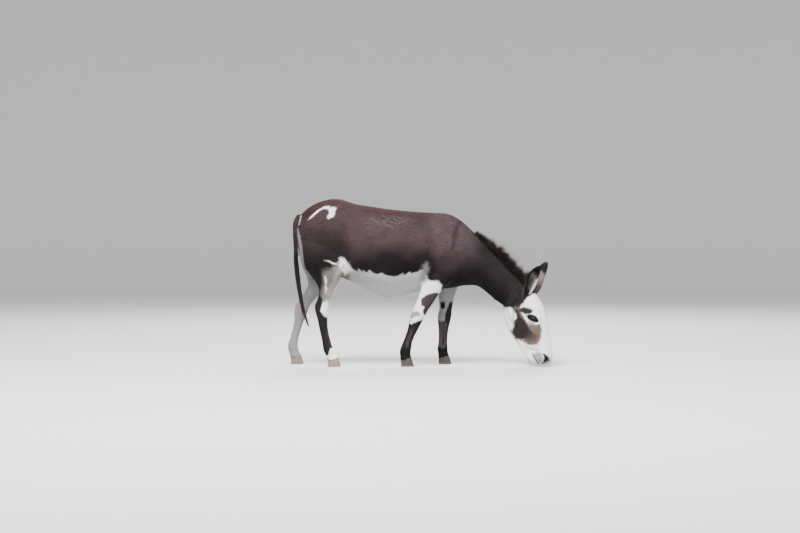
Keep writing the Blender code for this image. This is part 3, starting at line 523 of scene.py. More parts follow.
@dataclass(frozen=True)
class NeckShape:
    """Sections of the neck in mm: crest x and z, throat x and z, y, and three half widths."""

    forward: float = 0.0302  # how far the sections' zero lies behind the model's middle
    levels: tuple[float, ...] = (0.88, 0.50, 0.13)
    rows: Rows = (
        (60, 885, 110, 500, 0, 46, 116, 84),
        (150, 886, 190, 468, 0, 42, 116, 86),
        (224, 846, 246, 466, -1, 36, 104, 76),
        (290, 786, 278, 468, -3, 31, 86, 60),
        (345, 735, 312, 463, -7, 26, 71, 50),
        (396, 684, 350, 440, -13, 23, 61, 45),
        (446, 634, 388, 408, -22, 21, 55, 43),
        (498, 575, 430, 374, -34, 21, 52, 43),
        (548, 520, 470, 345, -46, 23, 52, 44),
        (590, 474, 505, 325, -56, 24, 50, 42),
    )

    def rings(self) -> list[Array]:
        """Slanted rings from between the shoulders to the back of the head."""
        rows = curve_rows(np.array(self.rows) / 1000, 5)
        result = []
        for index, (crest_x, crest_z, throat_x, throat_z, y, *widths) in enumerate(rows):
            before = rows[max(index - 1, 0)]
            after = rows[min(index + 1, len(rows) - 1)]
            side = unit(np.array((before[4] - after[4], after[0] - before[0], 0.0)))
            crest = np.array((crest_x + self.forward, y, crest_z))
            throat = np.array((throat_x + self.forward, y, throat_z))
            result.append(section(throat, crest, side, self.levels, widths))
        return result

    def crest(self, shares: Array) -> tuple[Array, Array, Array]:
        """Crest line from the withers (0) to the poll (1).

        Args:
            shares: Places along the line.

        Returns:
            Points, directions towards the poll, and directions up from the crest.
        """
        rows = curve_rows(np.array(self.rows) / 1000, 8)
        line = np.stack((rows[:, 0] + self.forward, rows[:, 4], rows[:, 1]), 1)
        place = np.clip(shares, 0, 1) * (len(line) - 1)
        ladder = np.arange(len(line))
        points, along = (np.stack([np.interp(place, ladder, column) for column in table.T], 1)
                         for table in (line, np.gradient(line, axis=0)))
        along = unit(along)
        up = unit(np.stack((-along[:, 2], np.zeros(len(along)), along[:, 0]), 1))
        return points, along, up


NECK = NeckShape()


@dataclass(frozen=True)
class DockShape:
    """Middle line of the fleshy dock in mm: x, z and radius, hanging a little to her right."""

    y: float = -0.014
    rows: Rows = (
        (-670, 868, 22.5),
        (-698, 862, 20.5),
        (-717, 830, 16.5),
        (-722, 780, 13.5),
        (-721, 720, 12),
        (-718, 650, 10.5),
        (-715, 580, 9),
        (-708, 510, 7),
        (-698, 440, 4.5),
    )

    def rings(self) -> list[Array]:
        """Rings round the dock."""
        rows = curve_rows(np.array(self.rows) / 1000, 4)
        slopes = np.gradient(rows[:, :2], axis=0)
        result = []
        for index, ((x, z, radius), slope) in enumerate(zip(rows, slopes)):
            along = unit(np.array((slope[0], 0.0, slope[1])))
            out = np.cross(along, (0.0, 1.0, 0.0))
            turns = np.linspace(0, 2 * math.pi, 16, endpoint=False)[:, None]
            centre = np.array((x, self.y * min(1.0, index / 8), z))
            result.append(centre + (np.cos(turns) * np.array((0.0, 1.0, 0.0))
                                    + np.sin(turns) * out) * radius)
        return result


DOCK = DockShape()


@dataclass(frozen=True)
class Marking:
    """One patch of another colour with a ragged edge, as a closed outline or a stroke.

    Places, half widths, the ragged edge and the softness are in millimetres: on the body along x and z,
    on the head down the face and forward.
    """

    shade: Shades
    side: Side = Side.BOTH
    ragged: float = 5
    softness: float = 3
    strength: float = 1.0
    outline: tuple[Pair, ...] = ()
    stroke: tuple[Triple, ...] = ()
    inner: bool | None = None  # True only on a leg's inner face, False only on its outer one

    def cover(self, places: Array, points: Array, medial: Array) -> Array:
        """Share of this marking at each point.

        Args:
            places: Flat places in this marking's plane.
            points: World points.
            medial: How far each point faces the middle plane, from -1 to 1.

        Returns:
            A share from 0 to 1.
        """
        if self.outline:
            gap = outline_distance(places, np.array(self.outline) / 1000)
        else:
            gap = path_distance(places, np.array(self.stroke) / 1000)
        seed = len(self.outline) * 7 + len(self.stroke) * 13
        gap = gap + self.ragged / 1000 * (0.65 * noise(points, 0.011, seed)
                                          + 0.5 * noise(points, 0.004, seed + 1))
        share = 1 - ramp(-self.softness / 1000, self.softness / 1000, gap)
        if self.side is not Side.BOTH:
            share = share * (points[:, 1] * self.side.value > 0)
        if self.inner is not None:
            facing = medial if self.inner else -medial
            facing = facing + 0.40 * noise(points, 0.020, seed + 2)
            share = share * ramp(-0.10, 0.20, facing)
        return share * self.strength


@dataclass
class Markings:
    """Colours of skin and hair over the whole animal."""

    seed: int = 3
    belly_border: tuple[Pair, ...] = (
        (-480, 560), (-400, 573), (-338, 558), (-301, 553), (-250, 543), (-188, 533), (-168, 528),
        (-127, 533), (-80, 538), (-19, 553), (22, 558), (45, 525), (70, 440), (300, 400),
    )
    white_face: tuple[Pair, ...] = (
        (30, 70), (30, 45), (58, 21), (71, 5), (89, -11), (125, -44), (114, -69), (120, -89),
        (118, -108), (122, -145), (122, -220), (560, -220), (560, 160), (30, 160),
    )
    body: tuple[Marking, ...] = (
        Marking(Shades.NECK, ragged=10, softness=16, strength=0.78, stroke=(
            (240, 838, 7), (213, 784, 10), (201, 732, 10), (193, 676, 6))),
        # white hook on the near quarter and a looser one on the far quarter
        Marking(Shades.WHITE, Side.RIGHT, ragged=4, stroke=(
            (-643, 850, 1), (-626, 864, 3), (-604, 885, 4.5), (-577, 909, 5), (-550, 921, 5),
            (-525, 924, 7))),
        Marking(Shades.WHITE, Side.RIGHT, ragged=8, outline=(
            (-540, 922), (-505, 924), (-481, 918), (-486, 888), (-498, 868), (-516, 856), (-530, 866),
            (-518, 886), (-522, 905))),
        Marking(Shades.WHITE, Side.LEFT, ragged=6, stroke=(
            (-625, 830, 10), (-590, 862, 16), (-545, 878, 12), (-500, 868, 5))),
        # white beside the tail, and white in painted shade down the edge of the buttock
        Marking(Shades.WHITE, stroke=((-686, 874, 1), (-696, 826, 2))),
        Marking(Shades.SHADED_WHITE, softness=6, stroke=(
            (-704, 795, 4), (-690, 731, 8), (-682, 684, 9), (-678, 630, 8), (-662, 560, 4))),
        # white in painted shade on the far buttock
        Marking(Shades.SHADED_WHITE, Side.LEFT, ragged=10, softness=12, outline=(
            (-720, 660), (-630, 650), (-585, 560), (-600, 440), (-740, 440))),
        # flank fold with its painted shadow, the greyish gaskin and its white streak
        Marking(Shades.HAZE, Side.RIGHT, ragged=12, softness=18, outline=(
            (-550, 556), (-500, 572), (-470, 600), (-400, 600), (-400, 480), (-480, 400), (-500, 330),
            (-560, 330), (-566, 400), (-556, 480))),
        Marking(Shades.WHITE, Side.RIGHT, ragged=10, softness=12, outline=(
            (-456, 632), (-436, 628), (-408, 596), (-385, 560), (-430, 530), (-462, 590))),
        Marking(Shades.WHITE, Side.RIGHT, ragged=10, softness=16, strength=0.22, stroke=(
            (-462, 560, 10), (-490, 480, 16), (-512, 400, 18), (-530, 330, 18))),
        Marking(Shades.WHITE, Side.RIGHT, ragged=9, softness=6, strength=0.85, stroke=(
            (-540, 528, 2), (-536, 480, 6), (-538, 430, 3))),
        Marking(Shades.WHITE, Side.RIGHT, softness=6, outline=(
            (-560, 372), (-530, 380), (-500, 345), (-515, 280), (-540, 285), (-572, 325))),
        Marking(Shades.WHITE, Side.RIGHT, ragged=3, softness=2, stroke=(
            (-544, 617, 1), (-520, 612, 2.5), (-497, 600, 3), (-470, 594, 2))),
        # painted shadow in the opening of the flank fold
        Marking(Shades.FLANK, Side.RIGHT, ragged=2, softness=4, strength=0.8, stroke=(
            (-438, 590, 3), (-441, 578, 3))),
        # white in painted shade on the far gaskin
        Marking(Shades.SHADED_WHITE, Side.LEFT, softness=8, outline=(
            (-500, 600), (-400, 600), (-400, 500), (-560, 400), (-640, 380), (-600, 470))),
        # far hind leg: white from the gaskin down, in painted shade on its inner face
        Marking(Shades.SHADED_WHITE, Side.LEFT, softness=10, outline=(
            (-780, 440), (-500, 470), (-560, 330), (-640, 300), (-640, 40), (-800, 40))),
        Marking(Shades.WHITE, Side.LEFT, ragged=12, softness=12, strength=0.85, inner=False, outline=(
            (-750, 440), (-430, 600), (-400, 560), (-560, 330), (-640, 300), (-640, 40), (-800, 40))),
        Marking(Shades.LEG_BROWN, Side.LEFT, inner=False, outline=(
            (-770, 235), (-745, 240), (-750, 130), (-790, 120))),
        # near hind cannon, fetlock and pastern
        Marking(Shades.LEG_BROWN, Side.RIGHT, softness=4, outline=(
            (-640, 420), (-560, 400), (-562, 350), (-578, 325), (-560, 290), (-525, 283), (-505, 180),
            (-496, 105), (-560, 60), (-640, 100))),
        Marking(Shades.LEG_GREY_AND_SHEEN, Side.RIGHT, softness=6, strength=0.6, stroke=(
            (-535, 255, 5), (-524, 180, 6), (-514, 130, 4))),
        Marking(Shades.WHITE, Side.RIGHT, ragged=3, outline=(
            (-512, 108), (-480, 104), (-440, 45), (-500, 38), (-540, 45), (-548, 62), (-525, 68))),
        # near foreleg: white forearm with brown patches, a band at the knee, dark below, white in painted
        # shade behind the elbow and inside
        Marking(Shades.WHITE, Side.RIGHT, ragged=6, softness=8, outline=(
            (34, 498), (112, 496), (130, 470), (120, 300), (60, 270), (-100, 230), (-100, 330),
            (-20, 385), (16, 430))),
        Marking(Shades.SHADED_WHITE, Side.RIGHT, ragged=10, softness=16, strength=0.85, outline=(
            (22, 590), (46, 606), (58, 575), (46, 530), (40, 490), (0, 500))),
        Marking(Shades.SHADED_WHITE, Side.RIGHT, ragged=10, softness=20, inner=True, outline=(
            (50, 500), (270, 500), (260, 440), (50, 400))),
        Marking(Shades.PATCH_BROWN, Side.RIGHT, ragged=4, outline=(
            (12, 394), (47, 421), (86, 430), (130, 424), (95, 360), (60, 300), (30, 296), (20, 326),
            (32, 345), (12, 358))),
        Marking(Shades.PATCH_BROWN, Side.RIGHT, strength=0.75, outline=(
            (-48, 318), (-4, 322), (8, 300), (-50, 278))),
        Marking(Shades.LEG_BROWN, Side.RIGHT, ragged=2, outline=(
            (-60, 268), (10, 276), (60, 268), (60, 20), (-160, 20), (-160, 268))),
        Marking(Shades.WHITE, Side.RIGHT, ragged=3, softness=2, stroke=(
            (-46, 256, 8), (0, 275, 9), (40, 292, 8))),
        # painted sheen stripe down the cannon
        Marking(Shades.LEG_GREY_AND_SHEEN, Side.RIGHT, ragged=6, softness=8, strength=0.55, stroke=(
            (-40, 215, 5), (-60, 160, 7), (-72, 120, 5))),
        Marking(Shades.BLACK, Side.RIGHT, softness=12, strength=0.8, outline=(
            (-160, 110), (0, 104), (0, 20), (-160, 20))),
        # far foreleg: white in painted shade inside, with a chestnut, a brown front, a grey and dark
        # cannon
        Marking(Shades.SHADED_WHITE, Side.LEFT, ragged=12, softness=18, outline=(
            (50, 525), (282, 512), (240, 250), (80, 250))),
        Marking(Shades.WHITE, Side.LEFT, ragged=20, softness=16, strength=0.85, inner=False, outline=(
            (50, 480), (120, 505), (260, 490), (240, 250), (80, 250))),
        Marking(Shades.PATCH_BROWN, Side.LEFT, ragged=12, softness=6, inner=False, outline=(
            (132, 430), (170, 452), (235, 430), (225, 330), (160, 335))),
        Marking(Shades.LEG_BROWN, Side.LEFT, ragged=3, outline=(
            (182, 368), (230, 372), (230, 150), (146, 150), (149, 200), (156, 297))),
        Marking(Shades.LEG_GREY_AND_SHEEN, Side.LEFT, softness=8, outline=(
            (80, 262), (152, 256), (210, 180), (210, 90), (80, 90))),
        Marking(Shades.LEG_BROWN, Side.LEFT, softness=5, stroke=(
            (148, 250, 3), (146, 190, 4.5), (144, 120, 5))),
        Marking(Shades.LEG_BROWN, Side.LEFT, softness=8, strength=0.65, outline=(
            (158, 225), (210, 225), (210, 80), (152, 80))),
        Marking(Shades.BLACK, Side.LEFT, softness=8, outline=((60, 104), (220, 98), (220, 20), (60, 20))),
        Marking(Shades.BLACK, Side.LEFT, ragged=2, softness=1.5, inner=True, stroke=(
            (142, 356, 13), (143, 338, 11.5))),
        Marking(Shades.BLACK, Side.RIGHT, ragged=2, softness=1.5, inner=True, stroke=(
            (14, 352, 12), (10, 336, 10.5))),
    )
    face: tuple[Marking, ...] = (
        Marking(Shades.TAN, ragged=8, softness=7, strength=0.92, outline=(
            (134, -50), (165, -38), (192, -24), (222, -10), (222, 30), (220, 58), (262, 56), (300, 42),
            (330, 18), (346, -6), (346, -48), (326, -80), (280, -60), (235, -50), (190, -60),
            (150, -66))),
        Marking(Shades.CHEEK, ragged=10, softness=9, outline=(
            (118, -62), (150, -54), (175, -48), (200, -36), (232, -20), (262, -6), (292, -18),
            (305, -50), (322, -88), (310, -128), (270, -144), (235, -122), (211, -103), (175, -82),
            (140, -80))),
        Marking(Shades.CHEEK, ragged=8, softness=8, strength=0.9, outline=(
            (100, -58), (100, -98), (132, -94), (150, -82), (152, -50), (130, -46))),
        Marking(Shades.PATCH_BROWN, ragged=5, softness=12, strength=0.7, outline=(
            (250, -20), (285, 26), (318, 0), (322, -50), (290, -50))),
        Marking(Shades.WARM_GREY, ragged=4, softness=9, strength=0.75, outline=(
            (208, -12), (216, 30), (240, 28), (250, 0), (236, -16))),
        Marking(Shades.CHEEK, ragged=4, softness=4.5, outline=(
            (146, -50), (126, -52), (118, -18), (121, 6), (133, 32), (150, 32), (159, 12), (162, -16))),
        Marking(Shades.CHEEK, ragged=4, softness=5, strength=0.6, stroke=(
            (100, -78, 6), (140, -90, 6), (186, -100, 4))),
        # painted shadow line below the cheek
        Marking(Shades.WARM_GREY, ragged=3, softness=8, strength=0.55, stroke=(
            (356, -70, 5), (366, -31, 7), (374, 4, 6))),
        Marking(Shades.MUZZLE_GREY, ragged=10, softness=12, strength=0.75, outline=(
            (384, -4), (388, 26), (402, 30), (424, 26), (446, 12), (452, -12), (430, -14), (405, -24),
            (390, -18))),
        # dark skin round the nostril, with painted shade of its opening and of the slit below it
        Marking(Shades.BLACK, ragged=3, softness=4, strength=0.85, stroke=(
            (398, 41, 7.5), (414, 48, 12), (428, 46, 14), (442, 30, 10), (452, 14, 5))),
        # dark lips, with painted shade along the mouth line
        Marking(Shades.BLACK, ragged=2, softness=3, strength=0.8, stroke=(
            (400, -32, 6), (416, -26, 7), (440, -17, 5), (470, -6, 3))),
    )

    def colours(self, points: Array, normals: Array) -> Array:
        """Colour at each point of the coat.

        Args:
            points: World points, one a row.
            normals: Normals there.

        Returns:
            Linear colours.
        """
        base = self.dark_coat(points)
        flat = points[:, (0, 2)]
        medial = -normals[:, 1] * np.sign(points[:, 1])
        # white darkened where the coat faces down: painted shade under the belly
        underside_shade = ramp(0.10, -0.75, normals[:, 2:3])
        white = np.array(Shades.WHITE.value) * (1 - np.array((0.52, 0.50, 0.52)) * underside_shade)
        share = self.belly(points)
        base = base * (1 - share[:, None]) + white * share[:, None]
        for marking in self.body:
            cover = marking.cover(flat, points, medial)[:, None]
            base = base * (1 - cover) + np.array(marking.shade.value) * cover
        on_head = self.head_share(points)[:, None]
        return base * (1 - on_head) + self.face_coat(points) * on_head

    def head_share(self, points: Array) -> Array:
        """Whether each point lies on the head, from 0 to 1."""
        crest = np.array((0.6032, -0.0501, 0.505))
        throat = np.array((0.5002, -0.0341, 0.342))
        yaw = HEAD.yaw * 0.8
        normal = unit(np.cross(np.array((-math.sin(yaw), math.cos(yaw), 0.0)), throat - crest))
        if normal[0] < 0:
            normal = -normal
        ahead = (points - crest) @ normal
        return ramp(-0.004, 0.004, ahead) * (points[:, 0] > 0.47)

    def belly(self, points: Array) -> Array:
        """Share of the white belly at each point, with a border combed into points."""
        border = np.interp(points[:, 0], *np.array(self.belly_border).T / 1000)
        combed = points * np.array((1.0, 1.0, 0.22))
        ragged = 0.010 * noise(combed, 0.012, 41) + 0.007 * noise(combed, 0.005, 42)
        share = 1 - ramp(-0.004, 0.004, points[:, 2] - border + ragged)
        inside = ramp(-0.50, -0.46, points[:, 0]) * (1 - ramp(0.20, 0.24, points[:, 0]))
        under_tail = ramp(-0.60, -0.64, points[:, 0]) * ramp(0.070, 0.045, np.abs(points[:, 1]))
        under_tail *= ramp(0.81, 0.78, points[:, 2]) * ramp(-0.708, -0.700, points[:, 0])
        inner_thigh = ramp(0.086, 0.070, np.abs(points[:, 1]))
        inner_thigh *= ramp(-0.40, -0.44, points[:, 0]) * ramp(0.62, 0.58, points[:, 2])
        return np.maximum(share * inside, np.maximum(0.45 * under_tail, 0.60 * inner_thigh))

    def dark_coat(self, points: Array) -> Array:
        """Brown of the trunk, darker on the neck, lighter on top and darker low on the flank partly as
        painted light and shade.
        """
        x, y, z = points.T
        mottle = 0.5 + 0.5 * noise(points, 0.070, self.seed)
        fine = noise(points * (0.35, 1.0, 1.0), 0.006, self.seed + 1)
        blotch = noise(points * (1.0, 1.0, 0.7), 0.030, self.seed + 2)
        flecks = noise(points * (0.8, 1.0, 1.0), 0.0065, 21)
        in_patch = ramp(-0.33, -0.28, x) * ramp(-0.06, -0.12, x)
        in_patch = in_patch * ramp(0.78, 0.82, z) * ramp(0.885, 0.865, z)
        # lighter high on the trunk and darker low on the flank: partly the coat's own colour, partly
        # painted light from above and painted shade
        colour = blend(Shades.FLANK.value, Shades.SADDLE.value, ramp(0.615, 0.790, z + 0.05 * mottle))
        for shade, share in (
            (Shades.FLANK, 0.60 * ramp(-0.38, -0.46, x) * ramp(0.86, 0.74, z)),
            # lighter shoulder and upper arm, partly a painted sheen
            (Shades.SHOULDER, ramp(0.04, 0.12, x) * ramp(0.50, 0.72, z)),
            (Shades.RED_BACK, ramp(0.105, 0.060, np.abs(y)) * ramp(0.84, 0.87, z)
             * ramp(0.24, 0.02, x + 0.06 * mottle)),
            (Shades.NECK, ramp(0.28, 0.42, x + 0.15 * (0.75 - z) + 0.03 * mottle)),
            (Shades.THROAT, ramp(0.28, 0.40, x) * ramp(0.62, 0.50, z + 0.8 * (x - 0.35))),
            (Shades.WARM_GREY, 0.26 * in_patch * ramp(-0.10, 0.65, flecks)),
            (Shades.FLANK, 0.6 * in_patch * ramp(-0.35, -0.6, flecks)),
        ):
            colour = blend(colour, shade.value, share)
        return colour * (1 + 0.16 * fine + 0.34 * (mottle - 0.5) + 0.12 * blotch)[:, None]

    def face_coat(self, points: Array) -> Array:
        """White face with its brown patches, grey muzzle and dark back of the head."""
        head = HEAD.local(points)
        flat = head[:, :2] + np.array((-0.010, 0.008)) * ramp(0.0, 0.03, head[:, 2:3])
        ragged = 0.004 * noise(points, 0.012, 31) + 0.003 * noise(points, 0.005, 32)
        white = outline_distance(flat, np.array(self.white_face) / 1000)
        colour = blend(Shades.NECK.value, Shades.WHITE.value, 1 - ramp(-0.003, 0.003, white + ragged))
        colour = blend(colour, Shades.PINK.value, ramp(0.400, 0.445, head[:, 0]) * 0.45)
        for marking in self.face:
            cover = marking.cover(flat, points, np.zeros(len(points)))[:, None]
            colour = colour * (1 - cover) + np.array(marking.shade.value) * cover
        grey = np.array(Shades.MUZZLE_GREY.value)
        freckles = noise(points, 0.0055, 61) * ramp(0.405, 0.430, head[:, 0])
        colour = blend(colour, grey * 0.35, 0.7 * ramp(0.62, 0.75, freckles))
        dusky = noise(points, 0.016, 71) * ramp(0.395, 0.450, head[:, 0])
        return blend(colour, grey, 0.55 * ramp(0.10, 0.45, dusky))


@dataclass(frozen=True)
class EyeShape:
    """Ball and lids of an eye, in the head's directions down, forward and out."""

    radius: float = 0.0205
    outward: Triple = (-0.02, 0.32, 0.93)
    corners: Triple = (0.55, 0.80, -0.20)
    half_length: float = 0.0196
    over: float = 0.0124
    under: float = 0.0100
    lid: float = 0.0017  # thickness of a lid over the ball
    lid_section: tuple[Pair, ...] = (
        (-0.0002, -0.0010), (-0.0004, 0.0006), (0.0001, 0.0015), (0.0010, 0.0020),
        (0.0022, 0.0021), (0.0036, 0.0017), (0.0048, 0.0008), (0.0052, -0.0006),
        (0.0036, -0.0024), (0.0014, -0.0024),
    )  # out from the opening, and over the ball


EYE = EyeShape()


class EyePlace:
    """One eye's place: its centre, and the directions along the lids, over them and outwards."""

    def __init__(self, side: int) -> None:
        """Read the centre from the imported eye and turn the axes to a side."""
        low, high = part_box("eye_right" if side < 0 else "eye_left")
        self.side = side
        self.centre = (np.array(low) + np.array(high)) / 2
        out = HEAD.direction(EYE.outward, side)
        along = HEAD.direction(EYE.corners, side)
        along = unit(along - out * (along @ out))
        over = np.cross(out, along)
        if over @ HEAD.axes()[1] < 0:
            over = -over
        self.axes = np.array((along, over, out))

    def local(self, points: Array) -> Array:
        """Places along the lids, over them and outwards."""
        return (points - self.centre) @ self.axes.T

    def world(self, places: Array) -> Array:
        """World points of places along the lids, over them and outwards."""
        return self.centre + places @ self.axes

    def near(self, points: Array, reach: float, depth: float = -0.012) -> tuple[Array, Array]:
        """Pick the points round the eye.

        Args:
            points: World points.
            reach: How far from the eye's axis.
            depth: How far behind its centre, less than 0.

        Returns:
            Numbers of the points, and their places by the eye.
        """
        local = self.local(points)
        chosen = np.nonzero((span(local) < reach) & (local[:, 2] > depth))[0]
        return chosen, local[chosen]

    def opening(self, points: int) -> Array:
        """Outline of the gap between the lids, from the inner corner over the eye."""
        turn = np.linspace(0, 2 * math.pi, points, endpoint=False)
        height = np.where(np.sin(turn) > 0, EYE.over, EYE.under)
        rise = np.abs(np.sin(turn)) ** 1.30 * np.sign(np.sin(turn)) * height
        rise = rise + 0.0016 * np.cos(turn) * np.abs(np.sin(turn))
        return np.stack((EYE.half_length * np.cos(turn), rise), 1)

    def darkness(self, local: Array) -> Array:
        """Share of the dark skin round the eye, an almond drawn out towards the ear."""
        shape = self.opening(40) * np.array((2.02, 1.66)) + np.array((-0.0055, 0.0010))
        gap = outline_distance(local[:, :2], shape)
        return ramp(0.0016, -0.0016, gap + 0.0012 * noise(local, 0.004, 91))

    def gap(self, local: Array) -> Array:
        """Distance from the opening, less than 0 between the lids."""
        return outline_distance(local[:, :2], self.opening(40))

    def lid_level(self, reach: Array) -> Array:
        """How far outwards the lids' outside lies at a distance from the eye's axis."""
        held = np.minimum(reach, EYE.half_length + 0.0002)
        return np.sqrt((EYE.radius + EYE.lid) ** 2 - held**2)


@dataclass(frozen=True)
class MuzzleShape:
    """Nostril and mouth as strokes in the head's side view: down the face, forward, half width."""

    nostril: tuple[Triple, ...] = (
        (0.400, 0.033, 0.0025), (0.408, 0.041, 0.0045), (0.419, 0.046, 0.0070),
        (0.431, 0.043, 0.0080), (0.438, 0.034, 0.0055),
    )
    nostril_depth: float = 0.015
    mouth: tuple[Triple, ...] = (
        (0.398, -0.034, 0.0), (0.418, -0.029, 0.0), (0.440, -0.020, 0.0), (0.482, -0.003, 0.0),
    )
    mouth_depth: float = 0.0055
    mouth_half: float = 0.0019


MUZZLE = MuzzleShape()
HEAD_START = 0.55  # x beyond which a point as far down as the muzzle is on the head
MUZZLE_START = 0.385  # way down the face to the nostrils


def on_muzzle(points: Array, start: float) -> tuple[Array, Array]:
    """Numbers of the points further down the face than the start, and their head places."""
    head = HEAD.local(points)
    chosen = np.nonzero((head[:, 0] > start) & (points[:, 0] > HEAD_START))[0]
    return chosen, head[chosen]


def muzzle_gaps(points: Array) -> tuple[Array, Array, Array, Array]:
    """Numbers of the muzzle's points, their head places, and how far off nostril and mouth lie."""
    chosen, head = on_muzzle(points, MUZZLE_START)
    nostril = path_distance(head[:, :2], np.array(MUZZLE.nostril))
    nostril = np.where(np.abs(head[:, 2]) > 0.010, nostril, 1.0)
    return chosen, head, nostril, path_distance(head[:, :2], np.array(MUZZLE.mouth))


@dataclass(frozen=True)
class SkinSizes:
    """How the skin is fused, smoothed, drawn in under the coat and refined."""

    closing: float = 0.0008
    voxel: float = 0.0034
    triangles: int = 112000
    trunk_rounds: int = 64
    leg_rounds: int = 16
    head_rounds: int = 12
    body_depth: float = 0.0022
    fine_depth: float = 0.0008
    eye_reach: float = 0.043
    muzzle_start: float = 0.388


SKIN = SkinSizes()
FLESH_NODES = ("torso", "neck", "head", "foreleg_right_upper", "foreleg_right_lower",
               "foreleg_left_upper", "foreleg_left_lower", "hindleg_right_upper", "hindleg_right_lower",
               "hindleg_left_upper", "hindleg_left_lower")
HOOF_PLACES = {
    "hoof_fore_right": (-0.0663, -0.1001, -0.0748),
    "hoof_fore_left": (0.1572, 0.0999, 0.1480),
    "hoof_hind_right": (-0.4903, -0.1101, -0.4970),
    "hoof_hind_left": (-0.7168, 0.1099, -0.7250),
}  # x and y of the sole's middle, and x of the coronet's


